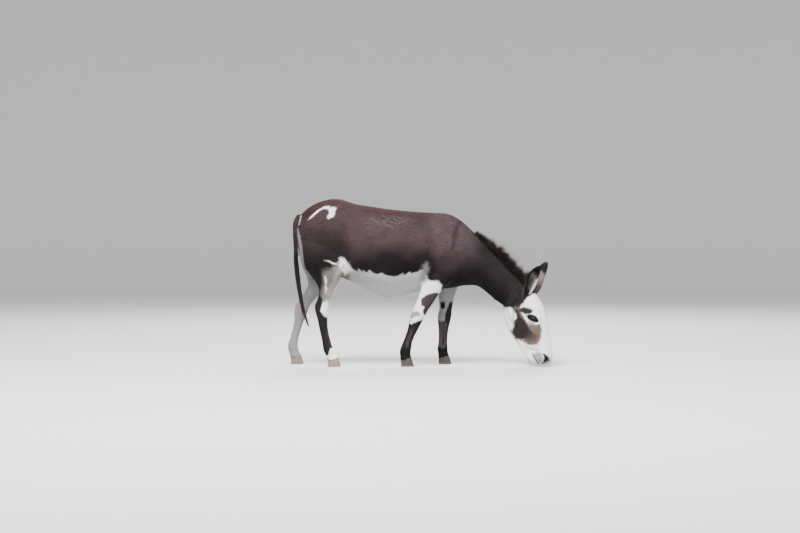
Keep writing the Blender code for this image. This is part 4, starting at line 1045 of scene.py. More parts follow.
class Skin:
    """One skin over the trunk, neck, head, legs and dock."""

    def __init__(self, frame: dict, eyes: list[EyePlace]) -> None:
        """Fuse, smooth, refine and shape the skin."""
        self.frame = frame
        self.eyes = eyes
        self.item = self.fuse()
        self.smooth()
        self.thin()
        self.refine()
        self.sculpt()
        shade_smooth(self.item)
        self.points = vertex_places(self.item)
        self.normals = vertex_normals(self.item)

    def fuse(self) -> Item:
        """Voxel skin over copies of the flesh solids and the finer forms."""
        forms = [self.swollen_copy(name) for name in FLESH_NODES if name not in ("neck", "head")]
        forms.append(loft("neck_form", NECK.rings()))
        head = HeadShape()
        forms.append(loft("head_form", head.rings()))
        forms.extend(head.muscle_forms())
        forms.append(loft("dock_form", DOCK.rings()))
        forms.extend(self.pastern_forms())
        joined = bmesh.new()
        for form in forms:
            joined.from_mesh(form.data)
            discard(form)
        item = worked_item("skin", joined)
        remesh = item.modifiers.new("fuse", "REMESH")
        remesh.mode = "VOXEL"
        remesh.voxel_size = SKIN.voxel * 1.0
        apply_modifiers(item)
        return item

    def swollen_copy(self, name: str) -> Item:
        """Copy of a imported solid, a little thicker so that neighbours overlap."""
        shape = bmesh.new()
        shape.from_mesh(self.frame["nodes"][name].data)
        bmesh.ops.remove_doubles(shape, verts=shape.verts, dist=1e-5)
        shape.normal_update()
        for vertex in shape.verts:
            vertex.co += vertex.normal * SKIN.closing
        return worked_item(name + "_form", shape)

    def pastern_forms(self) -> list[Item]:
        """Stubs that carry the skin of each pastern down inside its hoof."""
        forms = []
        turns = np.linspace(0, 2 * math.pi, 28, endpoint=False)
        for name, (sole_x, y, coronet_x) in HOOF_PLACES.items():
            rings = []
            for height, spread in ((0.066, 0.94), (0.044, 1.0), (0.030, 0.98), (0.018, 0.90)):
                x = sole_x + (coronet_x - sole_x) * min(1.0, height / 0.044)
                rings.append(np.stack((x + 0.0295 * spread * np.cos(turns), y
                                       + 0.0240 * spread * np.sin(turns), np.full(28, height)), 1))
            forms.append(loft(name + "_stub", rings))
        return forms

    def relax(self, points: Array, strength: Array, rounds: int) -> Array:
        """Draw each point towards the middle of its neighbours.

        Args:
            points: Places of the vertices.
            strength: Share of the way for each vertex.
            rounds: How often.

        Returns:
            New places.
        """
        ends = np.empty(len(self.item.data.edges) * 2, np.int32)
        self.item.data.edges.foreach_get("vertices", ends)
        first, second = ends.reshape(-1, 2).T
        count = len(points)
        near = np.bincount(first, minlength=count) + np.bincount(second, minlength=count)
        near = np.maximum(near, 1)[:, None]
        weight = strength[:, None]
        for _ in range(rounds):
            total = np.stack([np.bincount(first, points[second, axis], count)
                              + np.bincount(second, points[first, axis], count) for axis in range(3)], 1)
            points = points + (total / near - points) * weight
        return points

    def smooth(self) -> None:
        """Smooth the trunk most, and draw the skin in by the depth of the coat."""
        points = vertex_places(self.item)
        head = HEAD.local(points)
        on_head = ramp(0.50, 0.58, points[:, 0])
        legs = ramp(0.50, 0.42, points[:, 2]) * (points[:, 0] < 0.45)
        tail = ramp(-0.690, -0.705, points[:, 0]) * ramp(0.045, 0.030, np.abs(points[:, 1] + 0.012))
        fine = np.clip(on_head + legs + tail, 0, 1)
        points = self.relax(points, np.full(len(points), 0.5), 5)
        points = self.relax(points, 0.5 * (1 - fine), SKIN.trunk_rounds)
        points = self.relax(points, 0.5 * legs, SKIN.leg_rounds)
        points = self.relax(points, 0.5 * on_head, SKIN.head_rounds)
        set_places(self.item, points)
        normals = vertex_normals(self.item)
        depth = SKIN.body_depth + (SKIN.fine_depth - SKIN.body_depth) * fine
        muzzle = ramp(0.36, 0.42, head[:, 0]) * on_head
        depth = depth * (1 - muzzle)
        set_places(self.item, points - normals * depth[:, None])

    def thin(self) -> None:
        """Reduce the skin to its number of triangles."""
        mesh = self.item.data
        mesh.calc_loop_triangles()
        target = SKIN.triangles * 1.0
        reduce = self.item.modifiers.new("thin", "DECIMATE")
        reduce.ratio = min(1.0, target / len(mesh.loop_triangles))
        reduce.use_collapse_triangulate = True
        apply_modifiers(self.item)
        points = vertex_places(self.item)
        set_places(self.item, self.relax(points, np.full(len(points), 0.25), 2))

    def refine(self) -> None:
        """Split the triangles round the eyes, the nostrils and the mouth."""
        shape = bmesh.new()
        shape.from_mesh(self.item.data)
        start = SKIN.muzzle_start
        for part, muzzle in ((1.0, start), (0.80, start + 0.006), (0.62, math.inf)):
            shape.verts.ensure_lookup_table()
            points = np.array([vertex.co for vertex in shape.verts])
            chosen = np.zeros(len(points), bool)
            chosen[on_muzzle(points, muzzle)[0]] = True
            for eye in self.eyes:
                chosen[eye.near(points, SKIN.eye_reach * part)[0]] = True
            edges = [edge for edge in shape.edges if all(chosen[vertex.index] for vertex in edge.verts)]
            bmesh.ops.subdivide_edges(shape, edges=edges, cuts=1, use_grid_fill=True)
            bmesh.ops.triangulate(shape, faces=[face for face in shape.faces if len(face.verts) > 3])
        bmesh.ops.recalc_face_normals(shape, faces=shape.faces)
        shape.to_mesh(self.item.data)
        shape.free()
        points = vertex_places(self.item)
        near = np.zeros(len(points))
        for eye in self.eyes:
            chosen, local = eye.near(points, 0.045)
            near[chosen] = np.maximum(near[chosen], ramp(0.045, 0.040, span(local)))
        chosen, head = on_muzzle(points, start)
        near[chosen] = np.maximum(near[chosen], ramp(start, start + 0.006, head[:, 0]))
        set_places(self.item, self.relax(points, 0.5 * near, 4))

    def sculpt(self) -> None:
        """Shape lids, nostrils, lips and chestnuts in the refined skin."""
        points = vertex_places(self.item)
        normals = vertex_normals(self.item)
        for eye in self.eyes:
            points = self.shape_lids(points, eye)
        muzzle, head = on_muzzle(points, MUZZLE_START)
        for side in (-1, 1):
            here = head[:, 2] * side > 0.010
            gap = path_distance(head[here, :2], np.array(MUZZLE.nostril))
            inward = -HEAD.direction((0.55, 0.10, 0.85), side)
            depth = MUZZLE.nostril_depth * ramp(0.0004, -0.0038, gap)
            rim = 0.0019 * bell(gap, 0.0026, 0.0024)
            points[muzzle[here]] += inward * depth[:, None] + normals[muzzle[here]] * rim[:, None]
        gap = path_distance(head[:, :2], np.array(MUZZLE.mouth))
        slit = -MUZZLE.mouth_depth * ramp(MUZZLE.mouth_half, 0.0, gap)
        lips = 0.0016 * bell(gap, 0.0048, 0.0028)
        closed = ramp(0.394, 0.404, head[:, 0])
        points[muzzle] += normals[muzzle] * ((slit + lips) * closed)[:, None]
        for x, z, side in ((0.143, 0.346, 1), (0.012, 0.344, -1)):
            gap = np.hypot(points[:, 0] - x, (points[:, 2] - z) * 0.75)
            facing = (points[:, 1] * side > 0) & (normals[:, 1] * side < 0.1) & (points[:, 2] < 0.42)
            points += normals * (0.0024 * ramp(0.013, 0.007, gap) * facing)[:, None]
        set_places(self.item, points)
        near = np.zeros(len(points))
        near[on_muzzle(points, 0.392)[0]] = 1.0
        for eye in self.eyes:
            near[eye.near(points, 0.040)[0]] = 1.0
        set_places(self.item, self.relax(points, 0.35 * near, 2))

    def shape_lids(self, points: Array, eye: EyePlace) -> Array:
        """Lay the skin over the ball as two lids with their folds.

        Args:
            points: Places of the vertices.
            eye: The eye.

        Returns:
            New places.
        """
        chosen, part = eye.near(points, 0.045, -0.014)
        reach = span(part)
        gap = eye.gap(part)
        lid = eye.lid_level(reach)
        share = 1 - ramp(0.003, 0.017, gap)
        above = np.where(part[:, 1] > -0.002, 1.0, 0.6)
        crease = -0.0019 * bell(gap, 0.0078, 0.0016) * above
        crease += -0.0010 * bell(gap, 0.0120, 0.0015) * above
        swell = 0.0012 * bell(gap, 0.0100, 0.0012) * above
        swell += 0.0016 * bell(gap, 0.0160, 0.0035) * (part[:, 1] > 0)
        along = ramp(0.030, 0.018, np.abs(part[:, 0]))
        outside = part[:, 2] * (1 - share) + lid * share + (crease + swell) * along
        behind = np.sqrt(np.maximum(EYE.radius**2 - reach**2, 0)) - 0.0050
        inside = ramp(0.0, -0.0016, gap)
        part[:, 2] = outside * (1 - inside) + behind * inside
        points = points.copy()
        points[chosen] = eye.world(part)
        return points

    def bare(self, points: Array) -> Array:
        """Share of the coat that is missing on lids, nostrils and lips."""
        bare = np.zeros(len(points))
        for eye in self.eyes:
            chosen, part = eye.near(points, 0.040)
            bare[chosen] = np.maximum(bare[chosen], ramp(0.0058, 0.0036, eye.gap(part)))
        chosen, _, nostril, mouth = muzzle_gaps(points)
        bare[chosen] = ramp(0.0052, 0.0034, np.minimum(nostril, mouth + 0.001))
        return bare

    def colour(self, markings: Markings) -> None:
        """Give the skin its markings, with dark lids, and painted shade in the nostrils and the mouth
        slit.
        """
        dark = np.zeros(len(self.points))
        for eye in self.eyes:
            chosen, part = eye.near(self.points, 0.040)
            dark[chosen] = np.maximum(dark[chosen], eye.darkness(part))
        chosen, head, nostril, mouth = muzzle_gaps(self.points)
        # painted shade inside the nostrils and in the slit of the mouth
        hollow_shade = 0.96 * ramp(0.0030, -0.0004, nostril)
        lips = 0.80 * ramp(0.0026, 0.0008, mouth) * ramp(0.394, 0.404, head[:, 0])
        dark[chosen] = np.maximum(dark[chosen], np.maximum(hollow_shade, lips))
        shown = markings.colours(self.points, self.normals) * 0.92
        set_colours(self.item, blend(shown, (0.007, 0.005, 0.0055), dark))


class Region(Enum):
    """Parts of the coat that are pieces of their own."""

    BARREL_RIGHT = "coat_barrel_right"
    BARREL_LEFT = "coat_barrel_left"
    QUARTER_RIGHT = "coat_quarter_right"
    QUARTER_LEFT = "coat_quarter_left"
    NECK = "coat_neck"
    HEAD_RIGHT = "coat_head_right"
    HEAD_LEFT = "coat_head_left"
    FORE_RIGHT = "coat_foreleg_right"
    FORE_LEFT = "coat_foreleg_left"
    HIND_RIGHT = "coat_hindleg_right"
    HIND_LEFT = "coat_hindleg_left"


def region_numbers(points: Array, head_share: Array) -> Array:
    """Number of the coat region that each point belongs to."""
    x, y, z = points.T
    right = y < 0
    rear = x < -0.34
    low_fore = (z < 0.49) & (x > -0.20) & (x < 0.30) & (np.abs(y) > 0.030)
    low_hind = (z < 0.50) & (x < -0.40) & (np.abs(y) > 0.030)
    on_head = head_share > 0.5
    left_cheek = HEAD.local(points)[:, 2] > 0
    result = np.zeros(len(points), int)
    for region, where in (
        (Region.BARREL_RIGHT, right), (Region.BARREL_LEFT, ~right),
        (Region.QUARTER_RIGHT, rear & right), (Region.QUARTER_LEFT, rear & ~right),
        (Region.NECK, x > 0.26),
        (Region.FORE_RIGHT, low_fore & right), (Region.FORE_LEFT, low_fore & ~right),
        (Region.HIND_RIGHT, low_hind & right), (Region.HIND_LEFT, low_hind & ~right),
        (Region.HEAD_RIGHT, on_head & ~left_cheek), (Region.HEAD_LEFT, on_head & left_cheek),
    ):
        result[where] = list(Region).index(region)
    return result


@dataclass(frozen=True)
class TuftSizes:
    """Length, width, rise of the tip, and area for each tuft."""

    length: float
    width: float
    rise: float
    area: float


TRUNK_TUFT = TuftSizes(0.0150, 0.0033, 0.0022, 11.4e-6)
LEG_TUFT = TuftSizes(0.0085, 0.0020, 0.0011, 5.4e-6)
FACE_TUFT = TuftSizes(0.0066, 0.0015, 0.0009, 3.3e-6)


@dataclass
class Roots:
    """Where tufts or hairs grow: places, normals, directions of the lie and colours."""

    points: Array
    normals: Array
    along: Array
    colours: Array

    def chosen(self, which: Array) -> Roots:
        """Roots picked by a mask."""
        return Roots(self.points[which], self.normals[which], self.along[which], self.colours[which])


def lie_of_coat(points: Array, normals: Array, on_head: Array) -> Array:
    """Direction in which the hair lies at each point, along the surface.

    Args:
        points: Roots.
        normals: Normals there.
        on_head: Share of the head at each root.

    Returns:
        Unit directions.
    """
    x, y, z = points.T
    down, forward, left = HEAD.axes()
    head = HEAD.local(points)
    cheek = ramp(0.02, -0.06, head[:, 1]) * ramp(0.34, 0.26, head[:, 0])
    face = down + cheek[:, None] * (-0.55 * forward) + np.sign(head[:, 2])[:, None] * left * 0.10
    lie = np.array((-1.0, 0.0, -0.42))
    for direction, share in (
        ((-0.55, 0.0, -0.85), ramp(-0.42, -0.58, x)),
        ((-0.60, 0.0, -0.80), ramp(0.02, 0.14, x) * ramp(0.86, 0.78, z)),
        ((-0.85, 0.0, -0.50), ramp(0.24, 0.36, x)),
        ((-1.0, 0.0, 0.05), ramp(-0.35, -0.75, normals[:, 2]) * (z > 0.44)),
        ((-0.35, 0.0, 0.75), ramp(0.12, 0.04, np.hypot(x + 0.41, z - 0.60)) * 0.9),
        ((-0.12, 0.0, -1.0), ramp(0.53, 0.45, z) * (x < 0.45)),
        ((-0.05, 0.0, -1.0), ramp(-0.695, -0.710, x) * ramp(0.045, 0.030, np.abs(y + 0.012))),
        (face, on_head),
    ):
        lie = blend(lie, direction, share)
    swirl = 0.30 * noise(points, 0.055, 71) + 0.12 * noise(points, 0.014, 72)
    lie = unit(lie - normals * np.sum(lie * normals, 1, keepdims=True))
    across = np.cross(normals, lie)
    return unit(lie * np.cos(swirl)[:, None] + across * np.sin(swirl)[:, None])


def unwrap(points: Array, region: Region) -> Array:
    """Places of roots on an unwrap of their part of the skin, filling the square.

    Args:
        points: Roots.
        region: The part, which gives the axis that it is unrolled about.

    Returns:
        Two measures from 0 to 1 for each root.
    """
    if region in (Region.HEAD_RIGHT, Region.HEAD_LEFT):
        head = HEAD.local(points)
        axial = head[:, 0]
        turn = np.arctan2(head[:, 1] + 0.045, np.abs(head[:, 2]) + 0.001)
    elif region in (Region.FORE_RIGHT, Region.FORE_LEFT, Region.HIND_RIGHT, Region.HIND_LEFT):
        axial = points[:, 2]
        bins = np.clip(((axial - axial.min()) / 0.012).astype(int), 0, 80)
        centre = np.zeros((81, 2))
        for number in np.unique(bins):
            inside = points[bins == number]
            centre[number] = (inside[:, :2].min(0) + inside[:, :2].max(0)) / 2
        offset = points[:, :2] - centre[bins]
        outer = np.sign(points[:, 1].mean())
        turn = np.arctan2(offset[:, 0], offset[:, 1] * outer)
    elif region is Region.NECK:
        axial = points[:, 0]
        middle = np.interp(axial, (0.26, 0.42, 0.62), (0.63, 0.55, 0.42))
        turn = np.arctan2(points[:, 2] - middle, points[:, 1] + 0.02)
        turn = np.where(turn < -math.pi / 2, turn + 2 * math.pi, turn)
    else:
        axial = points[:, 0]
        turn = np.arctan2(points[:, 2] - 0.70, np.abs(points[:, 1]) + 0.001)
    places = np.stack((axial, turn), 1)
    low = places.min(0)
    high = places.max(0)
    return ATLAS_EDGE + (1 - 2 * ATLAS_EDGE) * (places - low) / np.maximum(high - low, 1e-6)


class Coat:
    """Short hair over the skin as thin closed tufts that overlap along the lie."""

    def __init__(self, skin: Skin, markings: Markings, seed: int = 11) -> None:
        """Scatter the roots over the skin."""
        self.skin = skin
        self.markings = markings
        self.random = np.random.default_rng(seed)
        self.share = 1.0
        self.roots, self.regions, self.sizes = self.scatter()

    def sizes_at(self, points: Array, on_head: Array) -> Array:
        """Length, width, rise and area of the tufts at each point, blended between parts."""
        trunk, leg, face = (np.array(astuple(tuft)) for tuft in (TRUNK_TUFT, LEG_TUFT, FACE_TUFT))
        sizes = blend(trunk, leg, ramp(0.52, 0.44, points[:, 2]) * (points[:, 0] < 0.45))
        sizes = blend(sizes, face, on_head)
        head = HEAD.local(points)
        back = on_head * ramp(0.10, 0.02, head[:, 0]) + on_head * ramp(-0.09, -0.13, head[:, 1])
        sizes[:, 0] *= 1 + 0.8 * np.clip(back, 0, 1)
        sizes[:, 0] *= 1 - 0.35 * ramp(0.36, 0.42, head[:, 0]) * on_head
        fetlock = ramp(0.075, 0.045, points[:, 2])
        sizes[:, 0] *= 1 + 0.5 * fetlock
        return sizes

    def scatter(self) -> tuple[Roots, Array, Array]:
        """Roots spread evenly by area over the skin's triangles."""
        mesh = self.skin.item.data
        mesh.calc_loop_triangles()
        corners = np.empty(len(mesh.loop_triangles) * 3, np.int32)
        mesh.loop_triangles.foreach_get("vertices", corners)
        corners = corners.reshape(-1, 3)
        first, second, third = (self.skin.points[corners[:, i]] for i in range(3))
        areas = np.linalg.norm(np.cross(second - first, third - first), axis=1) / 2
        centres = (first + second + third) / 3
        on_head = self.markings.head_share(centres)
        density = areas / self.sizes_at(centres, on_head)[:, 3] * self.share
        density = density * (1 - self.skin.bare(centres))
        total = np.concatenate(([0.0], np.cumsum(density)))
        count = int(total[-1])
        marks = np.arange(count) + self.random.uniform(0, 1, count)
        picked = np.clip(np.searchsorted(total, marks, side="right") - 1, 0, len(areas) - 1)
        one, two = self.random.uniform(0, 1, (2, count))
        folded = one + two > 1
        one = np.where(folded, 1 - one, one)[:, None]
        two = np.where(folded, 1 - two, two)[:, None]
        points = first[picked] + (second - first)[picked] * one + (third - first)[picked] * two
        normal = self.skin.normals[corners[picked]]
        normals = unit(normal[:, 0] * (1 - one - two) + normal[:, 1] * one + normal[:, 2] * two)
        keep = self.skin.bare(points) < self.random.uniform(0, 1, count)
        points = points[keep]
        normals = normals[keep]
        on_head = self.markings.head_share(points)
        lies = lie_of_coat(points, normals, on_head)
        sizes = self.sizes_at(points, on_head)
        covered = points + lies * sizes[:, :1] * 0.45
        colours = self.markings.colours(covered, normals)
        for eye in self.skin.eyes:
            near, part = eye.near(covered, 0.05)
            colours[near] = blend(colours[near], (0.009, 0.0065, 0.007), eye.darkness(part))
        return Roots(points, normals, lies, colours), region_numbers(points, on_head), sizes

    def build(self) -> list[Item]:
        """Make one piece of tufts for each region."""
        pieces = []
        for number, region in enumerate(Region):
            which = self.regions == number
            roots = self.roots.chosen(which)
            places = unwrap(roots.points, region)
            pieces.append(self.tufts(region.value, roots, self.sizes[which], places))
        return pieces

    def tufts(self, name: str, roots: Roots, sizes: Array, places: Array) -> Item:
        """Mesh of closed four-sided tufts.

        Args:
            name: Name of the piece.
            roots: Where they grow.
            sizes: Length, width, rise and area of each.
            places: Places of the roots on the unwrap.

        Returns:
            The piece.
        """
        count = len(roots.points)
        vary = self.random.uniform(-1, 1, (count, 5))
        turn = 0.20 * vary[:, 0]
        across = np.cross(roots.normals, roots.along)
        along = unit(roots.along * np.cos(turn)[:, None] + across * np.sin(turn)[:, None])
        across = np.cross(roots.normals, along)
        length = (sizes[:, 0] * (1 + 0.28 * vary[:, 1]))[:, None]
        half = (sizes[:, 1] * (1 + 0.30 * vary[:, 2]))[:, None] / 2
        rise = (sizes[:, 2] * (1 + 0.45 * vary[:, 3]))[:, None]
        base = roots.points - roots.normals * 0.0004
        corners = np.stack((
            base - across * half,
            base + across * half,
            roots.points + along * length * 0.42 + roots.normals * rise * 0.80,
            roots.points + along * length + roots.normals * rise * 0.92
            + across * (half * 0.5 * vary[:, 4:5]),
        ), 1)
        start = np.arange(count)[:, None] * 4
        faces = np.concatenate([start + np.array(one)
                                for one in ((0, 3, 2), (1, 2, 3), (0, 2, 1), (0, 1, 3))])
        item = make_mesh(name, corners.reshape(-1, 3), [faces])
        tone = 1 + 0.16 * vary[:, 2:3] * vary[:, 1:2] + 0.10 * vary[:, 0:1]
        steps = np.array((0.80, 0.80, 1.0, 1.10))
        colours = roots.colours[:, None, :] * tone[:, :, None] * steps[None, :, None]
        set_colours(item, colours.reshape(-1, 3))
        patch = np.array(((-0.5, -0.5), (0.5, -0.5), (0.0, 0.0), (0.0, 0.5))) * ATLAS_PATCH
        set_atlas(item, (places[:, None, :] + patch[None]).reshape(-1, 2))
        return item


@dataclass(frozen=True)
class StrandStyle:
    """Thickness of long hairs along their length, as shares from root to tip."""

    half_width: float
    profile: tuple[float, ...] = (0.75, 1.0, 0.95, 0.80, 0.55, 0.16)


def strands(name: str, paths: Array, style: StrandStyle, roots: Array, tips: Array, places: Array,
            bleached: float = 0.45) -> Item:
    """Mesh of closed three-sided hairs.

    Args:
        name: Name of the piece.
        paths: Points along each hair.
        style: Their thickness.
        roots: Colour of each at the root.
        tips: Colour of each at the tip.
        places: Places of the roots on an unwrap.
        bleached: Share of the length at which the colour starts to change.

    Returns:
        The piece.
    """
    count, steps, _ = paths.shape
    along = unit(np.gradient(paths, axis=1))
    helper = np.where(np.abs(along[:, :1, 2:3]) > 0.8, np.array((1.0, 0.0, 0.0)), UP)
    first = unit(np.cross(along, np.broadcast_to(helper, along.shape)))
    second = np.cross(along, first)
    share = np.linspace(0, 1, steps)
    half = style.half_width * np.interp(share, np.linspace(0, 1, len(style.profile)), style.profile)
    turns = (np.arange(3) * 2 * math.pi / 3)[:, None]
    ring = first[:, :, None] * np.cos(turns) + second[:, :, None] * np.sin(turns)
    points = paths[:, :, None] + ring * half[None, :, None, None]
    start = (np.arange(count) * steps * 3)[:, None, None]
    step = (np.arange(steps - 1) * 3)[None, :, None]
    quads = [(start + step + np.array(corners)).reshape(-1, 4)
             for corners in ((0, 1, 4, 3), (1, 2, 5, 4), (2, 0, 3, 5))]
    low = start[:, 0] + np.array((0, 2, 1))
    high = start[:, 0] + (steps - 1) * 3 + np.array((0, 1, 2))
    item = make_mesh(name, points.reshape(-1, 3), [np.concatenate(quads), np.vstack((low, high))])
    mix = ramp(bleached, 1.0, share)[None, :, None]
    colours = roots[:, None] * (1 - mix) + tips[:, None] * mix
    set_colours(item, np.repeat(colours[:, :, None], 3, axis=2).reshape(-1, 3))
    patch = np.zeros((1, steps, 3, 2))
    patch[..., 0] = (np.arange(3) - 1) * 0.5 * ATLAS_PATCH
    patch[..., 1] = ((share - 0.5) * ATLAS_PATCH)[:, None]
    atlas = np.clip(places, ATLAS_EDGE, 1 - ATLAS_EDGE)[:, None, None, :] + patch
    set_atlas(item, atlas.reshape(-1, 2))
    shade_smooth(item)
    return item


@dataclass(frozen=True)
class Locks:
    """Locks of hair: how many, hairs in each, half widths at root and tip, steps along a hair."""

    number: int
    hairs: int
    spread: Pair
    steps: int


MANE_LOCKS = Locks(250, 17, (0.0075, 0.0032), 5)
FORELOCK_LOCKS = Locks(30, 28, (0.0060, 0.0022), 7)
SWITCH_LOCKS = Locks(110, 20, (0.007, 0.0135), 8)
WHISKERS = Locks(110, 1, (0.0, 0.0), 5)


class LongHair:
    """Mane, forelock, tail switch, whiskers and lashes."""

    def __init__(self, seed: int = 5) -> None:
        """Start the draw of random numbers."""
        self.random = np.random.default_rng(seed)
        self.share = 1.0

    def hairs(self, locks: Locks) -> int:
        """Hairs that a lock gets in this run."""
        return locks.hairs if locks.hairs == 1 else max(4, int(locks.hairs * self.share))

    def lock_paths(self, starts: Array, rises: Array, curls: Array, lengths: Array,
                   locks: Locks) -> tuple[Array, Array]:
        """Hairs of locks that draw together towards their tips.

        Args:
            starts: Root of each lock.
            rises: Direction of each at the root.
            curls: How far each bends by its tip, for a metre of length.
            lengths: Length of each.
            locks: Their sizes.

        Returns:
            Points along each hair, and the number of its lock.
        """
        lock = np.repeat(np.arange(len(starts)), self.hairs(locks))
        count = len(lock)
        part = np.linspace(0, 1, locks.steps)[None, :, None]
        length = (lengths[lock] * self.random.uniform(0.62, 1.06, count))[:, None, None]
        offset = self.random.normal(0, 0.55, (count, 3))
        wave = self.random.normal(0, 1.0, (count, 3)) * 0.10
        curl = curls[lock] + self.random.normal(0, 0.10, (count, 3))
        middle = (starts[lock][:, None] + (rises[lock][:, None] * part + curl[:, None] * part**2
                                           + wave[:, None] * part**3) * length)
        width = locks.spread[0] * (1 - part) + locks.spread[1] * part
        return middle + offset[:, None] * width, lock

    def mane(self) -> Item:
        """Upright, tousled mane along the crest, short at the withers."""
        locks = MANE_LOCKS.number
        shares = (np.arange(locks) + self.random.uniform(0, 1, locks)) / locks
        points, along, up = NECK.crest((3.20 + shares * 5.42) / 9)
        side = np.cross(up, along)
        row = (np.arange(locks) % 5 - 2) / 2
        height = 0.061 * (0.36 + 0.64 * np.minimum(shares / 0.42, 1))
        height = height * self.random.uniform(0.78, 1.08, locks)
        starts = points + side * (row * 0.010)[:, None] - up * 0.016
        lean = self.random.uniform(-0.14, 0.40, locks)
        fall = row * 0.30 + self.random.uniform(-0.12, 0.12, locks)
        rises = unit(up + along * lean[:, None] + side * fall[:, None])
        curls = (along * self.random.uniform(-0.20, 0.42, locks)[:, None]
                 + side * self.random.uniform(-0.26, 0.26, locks)[:, None]
                 - up * self.random.uniform(0.0, 0.16, locks)[:, None])
        paths, lock = self.lock_paths(starts, rises, curls, height + 0.016, MANE_LOCKS)
        pale = np.clip(self.random.normal(0.02, 0.30, locks), 0, 1)[lock][:, None]
        pale = pale * self.random.uniform(0.2, 1.0, (len(lock), 1))
        dark = np.array((0.0095, 0.0060, 0.0056)) * self.random.uniform(0.6, 1.4, (len(lock), 1))
        tips = blend(dark * 1.3, np.array(Shades.BLOND.value) * 0.8, pale)
        places = np.stack((shares[lock], 0.5 + 0.4 * row[lock]), 1)
        return strands("mane", paths, StrandStyle(0.00085), dark, tips, places)

    def forelock(self) -> Item:
        """Tuft of standing hair between the ears."""
        locks = FORELOCK_LOCKS.number
        across = self.random.uniform(-0.014, 0.014, locks)
        back = self.random.uniform(0, 1, locks)
        starts = HEAD.world(np.stack((-0.010 + 0.022 * back, -0.012 + 0.022 * back, across), 1))
        left = HEAD.axes()[2]
        rises = unit(np.stack((self.random.uniform(0.06, 0.34, locks), np.zeros(locks), np.ones(locks)),
                              1) + left * (across * 9)[:, None])
        curls = np.stack((self.random.uniform(0.05, 0.30, locks), self.random.uniform(-0.12, 0.12, locks),
                          self.random.uniform(-0.12, 0.0, locks)), 1)
        lengths = 0.104 * self.random.uniform(0.72, 1.02, locks) * (1 - 0.16 * back)
        paths, lock = self.lock_paths(starts, rises, curls, lengths, FORELOCK_LOCKS)
        pale = np.clip(self.random.normal(0.4, 0.3, locks), 0, 1)[lock][:, None]
        dark = np.array((0.013, 0.0075, 0.0065)) * self.random.uniform(0.6, 1.4, (len(lock), 1))
        tips = blend(dark * 1.3, (0.11, 0.055, 0.034), pale)
        places = np.stack((0.5 + across[lock] * 20, 0.1 + 0.8 * back[lock]), 1)
        return strands("forelock", paths, StrandStyle(0.0007), dark, tips, places)

    def switch(self) -> Item:
        """Long hair of the tail, from the dock to a thin tip."""
        locks = SWITCH_LOCKS.number
        line = curve_rows(((-0.720, 0.700), (-0.716, 0.590), (-0.705, 0.490), (-0.691, 0.400),
                           (-0.672, 0.310), (-0.642, 0.224)), 8)
        ladder = np.linspace(0, 1, len(line))
        begin = 0.46 * np.arange(locks) / (locks - 1)
        end = np.minimum(begin + self.random.uniform(0.44, 0.62, locks), 1.0)
        turn = self.random.uniform(0, 2 * math.pi, locks)
        lock = np.repeat(np.arange(locks), self.hairs(SWITCH_LOCKS))
        count = len(lock)
        part = np.linspace(0, 1, SWITCH_LOCKS.steps)[None, :]
        reach = (end - begin)[lock] * self.random.uniform(0.70, 1.03, count)
        share = np.minimum(begin[lock][:, None] + reach[:, None] * part, 1.0)
        angle = (turn[lock] + self.random.normal(0, 0.30, count))[:, None]
        bulge = 0.55 + 1.9 * part * (1 - part) + 0.10 * part
        spread = self.random.uniform(*SWITCH_LOCKS.spread, count)[:, None] * bulge * (1.15 - 0.72 * share)
        x = np.interp(share, ladder, line[:, 0]) + np.cos(angle) * spread
        y = DOCK.y + np.sin(angle) * spread
        z = np.interp(share, ladder, line[:, 1])
        wave = self.random.normal(0, 0.0022, (2, count, 1)) * part**1.5
        paths = np.stack((x + wave[0], y + wave[1], z), 2)
        pale = np.clip(self.random.normal(0.50, 0.35, count), 0, 1)[:, None]
        pale = pale * ramp(0.45, 1.0, end[lock])[:, None]
        dark = np.array((0.0100, 0.0070, 0.0070)) * self.random.uniform(0.55, 1.5, (count, 1))
        tips = blend(dark * 1.4, np.array(Shades.BLOND.value) * 0.7, pale)
        places = np.stack((turn[lock] / (2 * math.pi), begin[lock] * 2), 1)
        profile = StrandStyle(0.00088, (0.7, 1.0, 1.0, 0.92, 0.82, 0.68, 0.45, 0.14))
        return strands("tail_switch", paths, profile, dark, tips, places, 0.60)

    def whiskers(self, skin: Skin) -> Item:
        """Stiff whiskers on lips and chin, and a few under the eyes."""
        head = HEAD.local(skin.points)
        lips = (head[:, 0] > 0.405) & (head[:, 1] < 0.030) & (skin.points[:, 0] > HEAD_START)
        near = np.nonzero(lips & (skin.points[:, 2] > 0.030) & (skin.bare(skin.points) < 0.4))[0]
        count = min(len(near), WHISKERS.number)
        picked = self.random.choice(near, count, replace=False)
        starts = skin.points[picked]
        down = HEAD.axes()[0]
        rises = unit(skin.normals[picked] + down * 0.35 + self.random.normal(0, 0.15, (count, 3)))
        lengths = self.random.uniform(0.010, 0.026, count)
        curls = np.tile(down * 0.25, (count, 1))
        paths, _ = self.lock_paths(starts, rises, curls, lengths, WHISKERS)
        paths[:, :, 2] = np.maximum(paths[:, :, 2], 0.002)
        shade = np.tile(np.array((0.30, 0.27, 0.25)), (count, 1))
        places = np.stack((np.arange(count) % 11 / 11, np.arange(count) / count), 1)
        return strands("whiskers", paths, StrandStyle(0.00022), shade, shade * 1.3, places)

